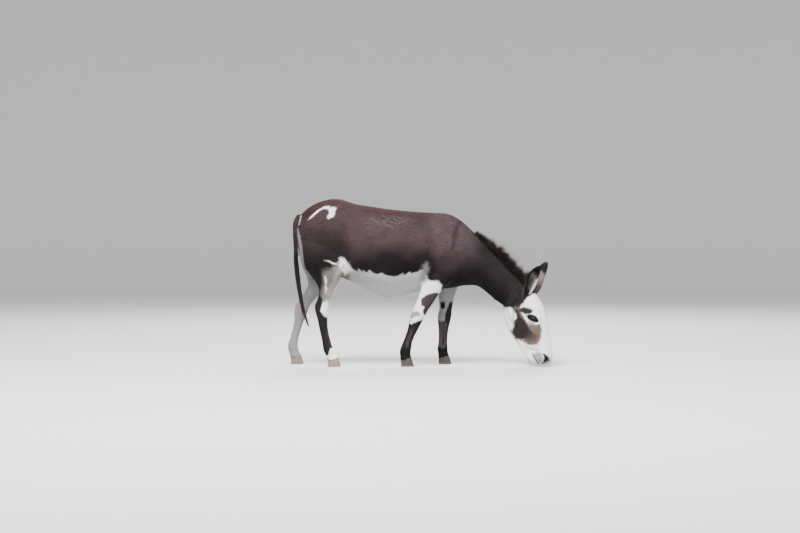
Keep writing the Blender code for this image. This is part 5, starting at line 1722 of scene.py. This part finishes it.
    def lashes(self, eyes: list[EyePlace]) -> Item:
        """Lashes along the upper lids, with a few on the lower ones."""
        paths = []
        for eye in eyes:
            outline = eye.opening(240)
            for upper, count in ((True, 90), (False, 26)):
                number = self.random.uniform(12, 108, count) + (0 if upper else 120)
                spot = outline[number.astype(int) % 240]
                away = unit(spot - np.array((0.0, -0.002)))
                level = np.sqrt((EYE.radius + 0.0019) ** 2 - span(spot) ** 2)
                start = np.column_stack((spot + away * 0.0006, level))
                length = self.random.uniform(0.008, 0.014, count) * (1 if upper else 0.5)
                tilt = self.random.normal(0, 0.10, (count, 2))
                part = np.linspace(0, 1, 6)[None, :, None]
                out = np.column_stack((away * 0.55 + tilt, np.full(count, 0.85)))
                fall = np.column_stack((away * 0.25, np.full(count, -0.45)))
                curve = (out[:, None] * part + fall[:, None] * part**2) * length[:, None, None]
                paths.append(eye.world((start[:, None] + curve).reshape(-1, 3)).reshape(-1, 6, 3))
        paths = np.concatenate(paths)
        count = len(paths)
        shade = np.tile(np.array((0.012, 0.009, 0.009)), (count, 1))
        places = np.stack((np.arange(count) % 16 / 16, np.arange(count) / count), 1)
        return strands("lashes", paths, StrandStyle(0.00028), shade, shade, places)


@dataclass(frozen=True)
class EarShape:
    """Leather of an ear: where it stands, half widths along it, and how far it wraps."""

    side: int
    base: Triple
    tip: Triple
    opening: Triple
    widths: tuple[Pair, ...] = ((0.0, 0.019), (0.12, 0.021), (0.30, 0.029), (0.48, 0.0335),
                                (0.66, 0.0325), (0.82, 0.0265), (0.93, 0.0170), (0.98, 0.0090),
                                (1.0, 0.0024))
    thickness: float = 0.0032
    sunk: float = 0.035
    wrap: Triple = (150.0, 78.0, 14.0)
    bow: float = 0.004
    inset: float = 0.0008


EARS = {
    "ear_right": EarShape(-1, (0.034, 0.012, 0.050), (0.6982, -0.1381, 0.582), (0.42, -0.90, 0.0)),
    "ear_left": EarShape(1, (0.034, 0.022, 0.050), (0.7522, 0.0099, 0.605), (0.50, 0.86, 0.0)),
}


class Ear:
    """One ear: leather, short hair outside, long pale hair inside and along the rims."""

    def __init__(self, name: str, seed: int) -> None:
        """Lay out the ear's axes."""
        self.name = name
        self.shape = EARS[name]
        self.random = np.random.default_rng(seed)
        base = HEAD.world(np.array(self.shape.base) * (1, 1, self.shape.side))
        tip = np.array(self.shape.tip)
        self.axis = unit(tip - base)
        opening = np.array(self.shape.opening)
        self.open = unit(opening - self.axis * (opening @ self.axis))
        self.across = np.cross(self.axis, self.open)
        self.start = base - self.axis * self.shape.sunk
        self.length = float(np.linalg.norm(tip - self.start))

    def middle(self, share: Array) -> Array:
        """Points of the ear's straight middle line."""
        return self.start + self.axis * (self.length * share)[:, None]

    def place(self, share: Array, turn: Array, depth: Array) -> Array:
        """Point of the leather.

        Args:
            share: Share of the way to the tip.
            turn: From -1 at one rim to 1 at the other.
            depth: 0 outside, 1 on the inner face.

        Returns:
            World points.
        """
        shape = self.shape
        width = np.interp(share, *self.width_table()) - shape.inset
        wrap = np.radians(shape.wrap[0] - shape.wrap[1] * np.minimum(share * 1.7, 1)
                          - shape.wrap[2] * share)
        radius = width / np.maximum(np.sin(np.minimum(wrap, math.pi / 2)), 0.5)
        ripple = 1 + 0.018 * np.sin(turn * 9 + share * 14) * (1 - np.abs(turn)) * (share < 0.9)
        leather = shape.thickness * (1 - 0.55 * share) * (1 - 0.45 * np.abs(turn) ** 3)
        inner = np.maximum(radius - leather, radius * 0.3)
        reach = (radius * ripple * (1 - depth) + inner * ripple * depth)[:, None]
        centre = self.middle(share) - self.open * (shape.bow * np.sin(share * math.pi))[:, None]
        angle = (wrap * turn)[:, None]
        return centre + (self.across * np.sin(angle) - self.open * np.cos(angle)) * reach

    def width_table(self) -> tuple[Array, Array]:
        """Fine table of half widths along the ear."""
        given = np.array(self.shape.widths)
        shares = np.linspace(0, 1, 80)
        index = np.clip(np.searchsorted(given[:, 0], shares, side="right") - 1, 0, len(given) - 2)
        part = (shares - given[index, 0]) / (given[index + 1, 0] - given[index, 0])
        part = part * part * (3 - 2 * part)
        return shares, given[index, 1] + (given[index + 1, 1] - given[index, 1]) * part

    def colours(self, share: Array, turn: Array, inner: bool) -> Array:
        """Colours of the ear outside or inside at given places, with a painted shadow in the hollow
        inside.
        """
        near = self.shape.side < 0
        front = turn * (1 if near else -1)
        tip = ramp(0.62, 0.74, share + 0.05 * front)
        if inner:
            edge = ramp(0.45, 0.75, front) * ramp(0.62, 0.50, share)
            # painted shadow deep in the hollow of the ear
            hollow_shade = np.exp(-(((share - 0.44) / 0.13) ** 2 + ((turn + 0.05) / 0.34) ** 2))
            colour = blend((0.20, 0.185, 0.17), (0.58, 0.56, 0.55), edge)
            colour = blend(colour, (0.010, 0.008, 0.008), 0.95 * hollow_shade)
            rim = np.maximum(ramp(-0.52, -0.74, front), ramp(0.55, 0.80, front) * ramp(0.50, 0.62, share))
        else:
            back = (0.040, 0.028, 0.029) if near else (0.185, 0.130, 0.128)
            colour = blend(back, (0.040, 0.030, 0.035), 0.75 * ramp(0.42, 0.28, share))
            rim = ramp(0.70, 0.92, np.abs(turn)) * (0.95 if near else 0.55)
        return blend(colour, (0.005, 0.004, 0.0045), np.maximum(rim, tip))

    def leather(self) -> Item:
        """Closed mesh of the ear's leather."""
        rows, columns = 40, 30
        turn = np.linspace(-1, 1, columns + 1)
        rings = []
        shades = []
        for row in range(rows + 1):
            share = np.full(columns + 1, row / rows)
            rings.append(np.vstack((self.place(share, turn, np.zeros(columns + 1)),
                                    self.place(share, turn, np.ones(columns + 1))[::-1])))
            shades.append(np.vstack((self.colours(share, turn, False),
                                     self.colours(share, turn, True)[::-1])))
        return coloured_loft(self.name + "_skin", rings, shades)

    def fur(self) -> Item:
        """Short tufts outside, as fine hairs that lie towards the tip."""
        count = int(2900 * (1.0))
        share = self.random.uniform(0.06, 0.985, count)
        turn = self.random.uniform(-1.0, 1.0, count)
        points = self.place(share, turn, np.zeros(count))
        ahead = self.place(np.minimum(share + 0.03, 1.0), turn, np.zeros(count))
        beside = self.place(share, turn + 0.04, np.zeros(count))
        along = unit(ahead - points)
        normals = unit(np.cross(along, beside - points))
        centre = self.middle(share)
        flip = np.sign(np.sum(normals * (points - centre), axis=1, keepdims=True))
        normals = normals * flip
        length = self.random.uniform(0.006, 0.011, count)[:, None, None]
        part = np.linspace(0, 1, 3)[None, :, None]
        jitter = self.random.normal(0, 0.10, (count, 3))
        paths = (points[:, None] + (along[:, None] + jitter[:, None]) * part * length
                 + normals[:, None] * (0.0010 * np.sin(part * 2.2)))
        shade = self.colours(share, turn, False) * self.random.uniform(0.75, 1.3, (count, 1))
        places = np.stack(((turn + 1) / 2, share), 1)
        style = StrandStyle(0.0010, (0.9, 1.0, 0.2))
        return strands(self.name + "_fur", paths, style, shade, shade * 1.1, places)

    def inner_hair(self) -> Item:
        """Long soft hair that fills the ear and fringes its rims."""
        count = int(1500 * (1.0))
        share = self.random.beta(1.7, 2.0, count) * 0.78 + 0.10
        turn = np.clip(self.random.normal(0, 0.75, count), -0.97, 0.97)
        rim = self.random.uniform(0, 1, count) < 0.42
        turn = np.where(rim, np.sign(turn) * self.random.uniform(0.88, 0.99, count), turn)
        points = self.place(share, turn, np.ones(count))
        centre = self.middle(share) + self.open * 0.010
        inward = unit(centre - points)
        length = self.random.uniform(0.012, 0.026, count) * (1 - 0.45 * ramp(0.6, 0.9, share))
        out = self.open * self.random.uniform(0.1, 0.6, (count, 1))
        rise = unit(self.axis * 0.85 + inward * 0.45 + out)
        curl = self.axis * 0.25 + self.random.normal(0, 0.16, (count, 3))
        part = np.linspace(0, 1, 5)[None, :, None]
        paths = points[:, None] + (rise[:, None] * part + curl[:, None] * part**2) * length[:, None, None]
        pale = self.colours(share, turn * 0.85, True) * 1.2
        shade = pale * self.random.uniform(0.7, 1.2, (count, 1))
        places = np.stack(((turn + 1) / 2, share), 1)
        return strands(self.name + "_hair", paths, StrandStyle(0.00052), shade, shade * 1.1, places)


@dataclass(frozen=True)
class HoofMaker:
    """Horn walls with growth rings, a toe that leans forward and open heels."""

    half_length: float = 0.0370
    half_width: float = 0.0297
    points: int = 72
    coronet: Pair = (0.053, 0.034)  # height at the toe and at the heel
    rings: tuple[Pair, ...] = ((1.02, 0.855), (0.97, 0.90), (0.93, 0.93), (0.75, 0.952), (0.5, 0.97),
                               (0.25, 1.0), (0.08, 1.025), (0.02, 1.02), (0.0, 1.0))

    def outline(self, spread: float) -> Array:
        """Narrow horseshoe outline, toe towards +X."""
        turn = 2 * math.pi * (np.arange(self.points) + 0.5) / self.points
        along = np.cos(turn)
        across = np.sin(turn)
        heel = along < 0
        along = np.where(heel, -(np.abs(along) ** 0.7), along)
        across = np.where(heel, np.sign(across) * np.abs(across) ** 0.75 * 0.93, across)
        return np.stack((along * self.half_length * spread, across * self.half_width * spread), 1)

    def make(self, name: str, pale: float) -> Item:
        """Hoof on its sole.

        Args:
            name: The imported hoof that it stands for.
            pale: Share of pale horn.

        Returns:
            The piece.
        """
        sole_x, y, coronet_x = HOOF_PLACES[name]
        slope = (self.coronet[0] - self.coronet[1]) / (2 * self.half_length)
        streak = 0.5 + 0.5 * np.sin(np.arange(self.points) * 0.9 + name.count("h") * 2)
        pale_share = np.clip(pale * (0.82 + 0.36 * streak), 0, 1)
        rings = []
        shades = []
        for share, spread in curve_rows(self.rings, 6)[::-1]:
            ripple = 1 + 0.006 * math.sin(share * 64) * (0.15 < share < 0.92)
            ripple += 0.003 * math.sin(share * 143)
            flat = self.outline(spread * ripple)
            top = sum(self.coronet) / 2 + slope * flat[:, 0]
            shift = (coronet_x - sole_x) * share - 0.10 * share * flat[:, 0]
            rings.append(np.stack((sole_x + flat[:, 0] + shift, y + flat[:, 1], top * share), 1))
            band = 0.5 + 0.5 * math.sin(share * 38 + 1)
            dark = np.array((0.024, 0.019, 0.018)) * (0.8 + 0.4 * band)
            light = np.array((0.22, 0.180, 0.145)) * (0.85 + 0.25 * band)
            shades.append(blend(blend(dark, light, pale_share), (0.12, 0.095, 0.072),
                                0.35 * ramp(0.35, 0.0, share)))
        item = coloured_loft(name + "_horn", rings, shades)
        for cap in list(item.data.polygons)[-2:]:
            cap.use_smooth = False
        return item


class EyeMaker:
    """Ball with iris, level pupil and cornea, and the rounded rims of its lids."""

    def __init__(self, place: EyePlace) -> None:
        """Take the eye's place."""
        self.place = place
        self.word = "right" if place.side < 0 else "left"

    def ball(self) -> Item:
        """Eyeball, its cornea swelling out a little."""
        rings, around = 56, 72
        turn = np.linspace(0, 2 * math.pi, around, endpoint=False)
        rows = []
        shades = []
        for index in range(rings + 1):
            polar = 0.004 + (math.pi - 0.008) * index / rings
            reach = EYE.radius * math.sin(polar)
            level = EYE.radius * math.cos(polar)
            swell = 0.0006 * ramp(0.0145, 0.006, reach) * (level > 0)
            places = np.stack((reach * np.cos(turn), reach * np.sin(turn),
                               np.full(around, level + swell)), 1)
            rows.append(self.place.world(places))
            shades.append(self.shade(places))
        return coloured_loft("eyeball_" + self.word, rows, shades)

    def shade(self, places: Array) -> Array:
        """Colours of the ball: dark rim of the white, brown iris, near-black level pupil."""
        reach = span(places)
        angle = np.arctan2(places[:, 1], places[:, 0])
        white = np.array((0.008, 0.005, 0.004))
        fibres = 0.85 + 0.25 * np.sin(angle * 47) * np.sin(angle * 19 + 1)
        iris = np.array((0.0065, 0.0035, 0.0024)) * fibres[:, None]
        pupil = np.hypot(places[:, 0] / 0.0088, places[:, 1] / 0.0050)
        colour = blend(white, iris, ramp(0.0152, 0.0138, reach))
        colour = blend(colour, (0.003, 0.002, 0.002), 0.85 * bell(reach, 0.0146, 0.0009))
        colour = blend(colour, (0.0015, 0.0015, 0.002), ramp(1.08, 0.94, pupil))
        return np.where(places[:, 2:3] < 0, white, colour)

    def lids(self) -> Item:
        """Rounded, moist rim round the opening, sunk into the skin outside."""
        outline = self.place.opening(160)
        ahead = np.roll(outline, -1, axis=0) - np.roll(outline, 1, axis=0)
        away = unit(np.stack((ahead[:, 1], -ahead[:, 0]), 1))
        rings = []
        for spread, height in EYE.lid_section:
            flat = outline + away * spread
            held = np.minimum(span(flat), 0.0199)
            level = np.sqrt(np.maximum((EYE.radius + height) ** 2 - held**2, 0))
            rings.append(self.place.world(np.column_stack((flat, level))))
        around = len(outline)
        count = len(rings)
        ring = np.arange(count)[:, None] * around
        next_ring = (np.arange(count)[:, None] + 1) % count * around
        here = np.arange(around)[None, :]
        after = (here + 1) % around
        quads = np.stack((ring + here, ring + after, next_ring + after, next_ring + here), -1)
        item = make_mesh("lid_rim_" + self.word, np.vstack(rings), [quads.reshape(-1, 4)])
        shade = np.tile(np.array((0.006, 0.0045, 0.005)), (count * around, 1))
        inner = np.repeat(np.arange(count) < 2, around)
        shade[inner] = (0.020, 0.010, 0.010)
        set_colours(item, shade)
        face_outwards(item)
        shade_smooth(item)
        return item


@dataclass(frozen=True)
class Finish:
    """How one kind of surface looks beside its stored colour."""

    name: str
    roughness: float
    sheen: float = 0.0
    specular: float = 0.35
    gloss_coat: float = 0.0
    grain: float = 300.0  # fineness of the colour noise
    contrast: float = 0.25
    bump: float = 0.0
    bump_grain: float = 700.0
    stretch: Triple = (1.0, 1.0, 1.0)


SKIN_FINISH = Finish("short_coat_skin", 0.70, 0.0, 0.10, 0.0, 420.0, 0.30, 0.35, 900.0, (0.35, 1.0, 1.0))
TUFT_FINISH = Finish("short_coat", 0.50, 0.01, 0.11, 0.0, 160.0, 0.30)
LONG_FINISH = Finish("long_hair", 0.42, 0.0, 0.16, 0.0, 200.0, 0.25)
EAR_FINISH = Finish("ear_leather", 0.65, 0.0, 0.12, 0.0, 300.0, 0.25, 0.25, 900.0)
LID_FINISH = Finish("moist_lid", 0.38, 0.0, 0.25, 0.0, 900.0, 0.20, 0.20, 1400.0)
EYE_FINISH = Finish("eye", 0.06, 0.0, 0.13, 0.06, 400.0, 0.05)
HORN_FINISH = Finish("horn", 0.55, 0.0, 0.20, 0.0, 260.0, 0.35, 0.25, 500.0, (1.0, 1.0, 4.0))


def wire(tree: bpy.types.NodeTree, links: tuple[tuple, ...]) -> None:
    """Join nodes: a row names a node, its output, the next node and that one's input."""
    for source, output, target, entry in links:
        tree.links.new(source.outputs[output], target.inputs[entry])


def set_inputs(values: tuple[tuple, ...]) -> None:
    """Set constants: a row names a node, its input and the value."""
    for node, entry, value in values:
        node.inputs[entry].default_value = value


class MaterialMaker:
    """Materials that read the stored colour and vary it."""

    def __init__(self) -> None:
        """Make the shared group of nodes."""
        self.group = self.variation_group()

    def variation_group(self) -> bpy.types.NodeTree:
        """Node group that varies a colour by a noise and gives a fine bump."""
        group = bpy.data.node_groups.new("HairVariation", "ShaderNodeTree")
        for way, name, kind in (("INPUT", "Colour", "Color"), ("INPUT", "Place", "Vector"),
                                ("INPUT", "Grain", "Float"), ("INPUT", "Contrast", "Float"),
                                ("INPUT", "Bump Grain", "Float"), ("INPUT", "Bump", "Float"),
                                ("OUTPUT", "Colour", "Color"), ("OUTPUT", "Normal", "Vector")):
            group.interface.new_socket(name, in_out=way, socket_type="NodeSocket" + kind)
        given, result = (group.nodes.new(kind) for kind in ("NodeGroupInput", "NodeGroupOutput"))
        coarse, fine, centred, scaled, tinted, bump = (
            group.nodes.new("ShaderNode" + kind)
            for kind in ("TexNoise", "TexNoise", "Math", "Math", "VectorMath", "Bump"))
        centred.operation = "SUBTRACT"
        scaled.operation = "MULTIPLY_ADD"
        tinted.operation = "SCALE"
        set_inputs(((coarse, "Detail", 3), (fine, "Detail", 2), (centred, 1, 0.5), (scaled, 2, 1.0),
                    (bump, "Distance", 0.001)))
        wire(group, (
            (given, "Place", coarse, "Vector"), (given, "Grain", coarse, "Scale"),
            (coarse, "Fac", centred, 0), (centred, 0, scaled, 0), (given, "Contrast", scaled, 1),
            (given, "Colour", tinted, 0), (scaled, 0, tinted, "Scale"), (tinted, 0, result, "Colour"),
            (given, "Place", fine, "Vector"), (given, "Bump Grain", fine, "Scale"),
            (given, "Bump", bump, "Strength"), (fine, "Fac", bump, "Height"),
            (bump, "Normal", result, "Normal"),
        ))
        return group

    def make(self, finish: Finish) -> bpy.types.Material:
        """Material of one finish.

        Args:
            finish: Its constants.

        Returns:
            The material.
        """
        material = bpy.data.materials.new(finish.name)
        material.use_nodes = True
        nodes = material.node_tree.nodes
        shader = nodes["Principled BSDF"]
        stored, place, stretch, vary = (
            nodes.new("ShaderNode" + kind) for kind in ("Attribute", "TexCoord", "Mapping", "Group"))
        stored.attribute_name = COLOUR_NAME
        vary.node_tree = self.group
        set_inputs((
            (stretch, "Scale", finish.stretch), (vary, "Grain", finish.grain),
            (vary, "Contrast", finish.contrast * 2), (vary, "Bump Grain", finish.bump_grain),
            (vary, "Bump", finish.bump), (shader, "Roughness", finish.roughness),
            (shader, "Specular IOR Level", finish.specular), (shader, "Sheen Weight", finish.sheen),
            (shader, "Sheen Roughness", 0.45), (shader, "Coat Weight", finish.gloss_coat),
            (shader, "Coat Roughness", 0.03),
        ))
        wire(material.node_tree, (
            (place, "Object", stretch, "Vector"), (stored, "Color", vary, "Colour"),
            (stretch, "Vector", vary, "Place"), (vary, "Colour", shader, "Base Color"),
        ))
        if finish.bump > 0:
            wire(material.node_tree, ((vary, "Normal", shader, "Normal"),))
        return material

    def plain(self, name: str, colour: Triple, roughness: float) -> bpy.types.Material:
        """Material of one plain colour."""
        material = bpy.data.materials.new(name)
        material.use_nodes = True
        shader = material.node_tree.nodes["Principled BSDF"]
        set_inputs(((shader, "Base Color", (*colour, 1)), (shader, "Roughness", roughness)))
        return material


@dataclass(frozen=True)
class Lamp:
    """Square soft light: where it stands, its side, power and colour; it looks at the studio's target."""

    name: str
    place: Triple
    side: float
    power: float
    colour: Triple = (1.0, 1.0, 1.0)


@dataclass(frozen=True)
class Studio:
    """Pale floor, pale surroundings, soft lamps and the camera."""

    target: Triple = (0.0, 0.0, 0.5)
    floor_radius: float = 13.0
    curve_radius: float = 5.0
    floor_colour: Triple = (0.50, 0.497, 0.49)
    air_colour: Triple = (0.93, 0.95, 1.0)
    air_strength: float = 1.05
    camera: Triple = (-0.1102, -11.05, 0.80)
    tilt: float = 1.15  # degrees that the camera looks down
    lens: float = 85.0
    film: float = 36.0
    lamps: tuple[Lamp, ...] = (
        Lamp("key", (-1.6, -4.6, 6.4), 3.4, 2250.0, (1.0, 0.99, 0.985)),
        Lamp("fill", (5.2, -4.6, 3.0), 4.0, 360.0, (0.95, 0.97, 1.0)),
        Lamp("back", (0.5, 5.2, 5.2), 3.5, 800.0),
    )

    def dish(self) -> Item:
        """Round floor whose far edge curves up, so that no horizon shows."""
        around = 96
        turns = np.linspace(0, 2 * math.pi, around, endpoint=False)
        rings = [(self.floor_radius * share, 0.0) for share in (0.00001, 0.25, 0.5, 0.75, 1.0)]
        for step in range(1, 17):
            angle = math.pi / 2 * step / 16
            rings.append((self.floor_radius + self.curve_radius * math.sin(angle),
                          self.curve_radius * (1 - math.cos(angle))))
        points = np.vstack([np.stack((np.cos(turns) * reach, np.sin(turns) * reach,
                                      np.full(around, height)), 1) for reach, height in rings])
        item = make_mesh("floor", points, loft_faces(len(rings), around)[:1])
        shade_smooth(item)
        return item

    def build(self, materials: MaterialMaker) -> None:
        """Set up floor, light and camera."""
        floor = self.dish()
        floor.data.materials.append(materials.plain("pale_floor", self.floor_colour, 0.9))
        world = bpy.data.worlds.new("studio")
        world.use_nodes = True
        air = world.node_tree.nodes["Background"]
        set_inputs(((air, "Color", (*self.air_colour, 1)), (air, "Strength", self.air_strength)))
        bpy.context.scene.world = world
        for lamp in self.lamps:
            data = bpy.data.lights.new(lamp.name, "AREA")
            data.shape = "SQUARE"
            data.size = lamp.side
            data.energy = lamp.power
            data.color = lamp.colour
            item = new_item(lamp.name, data)
            item.location = lamp.place
            aim = Vector(self.target) - item.location
            item.rotation_euler = aim.to_track_quat("-Z", "Y").to_euler()
        camera = new_item("camera", bpy.data.cameras.new("camera"))
        camera.data.lens = self.lens
        camera.data.sensor_width = self.film
        camera.data.clip_end = 100
        camera.location = self.camera
        camera.rotation_euler = (math.radians(90 - self.tilt), 0, 0)
        bpy.context.scene.camera = camera


class Donkey:
    """The whole animal, piece by piece."""

    def __init__(self, frame: dict) -> None:
        """Take the frame and prepare the markings, eyes and materials."""
        self.frame = frame
        self.markings = Markings()
        self.eyes = [EyePlace(-1), EyePlace(1)]
        self.materials = MaterialMaker()
        self.long_material = self.materials.make(LONG_FINISH)

    def settle(self, item: Item, material: bpy.types.Material, slot: str, *nodes: str) -> None:
        """Give a piece its material, let it ride on the frame and stand for its solids."""
        item.data.materials.append(material)
        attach(item, "root")
        if nodes:
            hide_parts(*nodes)
        LOG.info("%s: %d faces", item.name, len(item.data.polygons))

    def build(self) -> None:
        """Make every piece."""
        skin = Skin(self.frame, self.eyes)
        skin.colour(self.markings)
        self.settle(skin.item, self.materials.make(SKIN_FINISH), "coat", *FLESH_NODES)
        tufted = self.materials.make(TUFT_FINISH)
        for piece in Coat(skin, self.markings).build():
            self.settle(piece, tufted, "coat")
        self.build_hair(skin)
        self.build_ears()
        self.build_eyes()
        self.build_hooves()

    def build_hair(self, skin: Skin) -> None:
        """Make mane, forelock, tail, whiskers and lashes."""
        hair = LongHair()
        for piece, nodes in ((hair.mane(), ()), (hair.forelock(), ()), (hair.switch(), ("tail",)),
                             (hair.whiskers(skin), ()), (hair.lashes(self.eyes), ())):
            self.settle(piece, self.long_material, "hair", *nodes)

    def build_ears(self) -> None:
        """Make both ears."""
        leather = self.materials.make(EAR_FINISH)
        for number, name in enumerate(EARS):
            ear = Ear(name, 31 + number)
            self.settle(ear.leather(), leather, "coat", name)
            for piece in (ear.fur(), ear.inner_hair()):
                self.settle(piece, self.long_material, "coat")

    def build_eyes(self) -> None:
        """Make both eyeballs and the rims of their lids."""
        gloss = self.materials.make(EYE_FINISH)
        moist = self.materials.make(LID_FINISH)
        for place in self.eyes:
            maker = EyeMaker(place)
            self.settle(maker.ball(), gloss, "eye", "eye_" + maker.word)
            self.settle(maker.lids(), moist, "coat")

    def build_hooves(self) -> None:
        """Make the four hooves."""
        horn = self.materials.make(HORN_FINISH)
        maker = HoofMaker()
        for name, pale in (("hoof_fore_right", 0.10), ("hoof_fore_left", 0.05), ("hoof_hind_right", 0.75),
                           ("hoof_hind_left", 0.60)):
            self.settle(maker.make(name, pale), horn, "hoof", name)


def clear_scene() -> None:
    """Remove what the program starts with."""
    for item in list(bpy.data.objects):
        bpy.data.objects.remove(item)


def main() -> None:
    """Build the animal and its studio."""
    logging.basicConfig(level=logging.INFO, format="%(message)s")
    clear_scene()
    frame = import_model()
    donkey = Donkey(frame)
    donkey.build()
    Studio().build(donkey.materials)


if __name__ == "__main__":
    main()
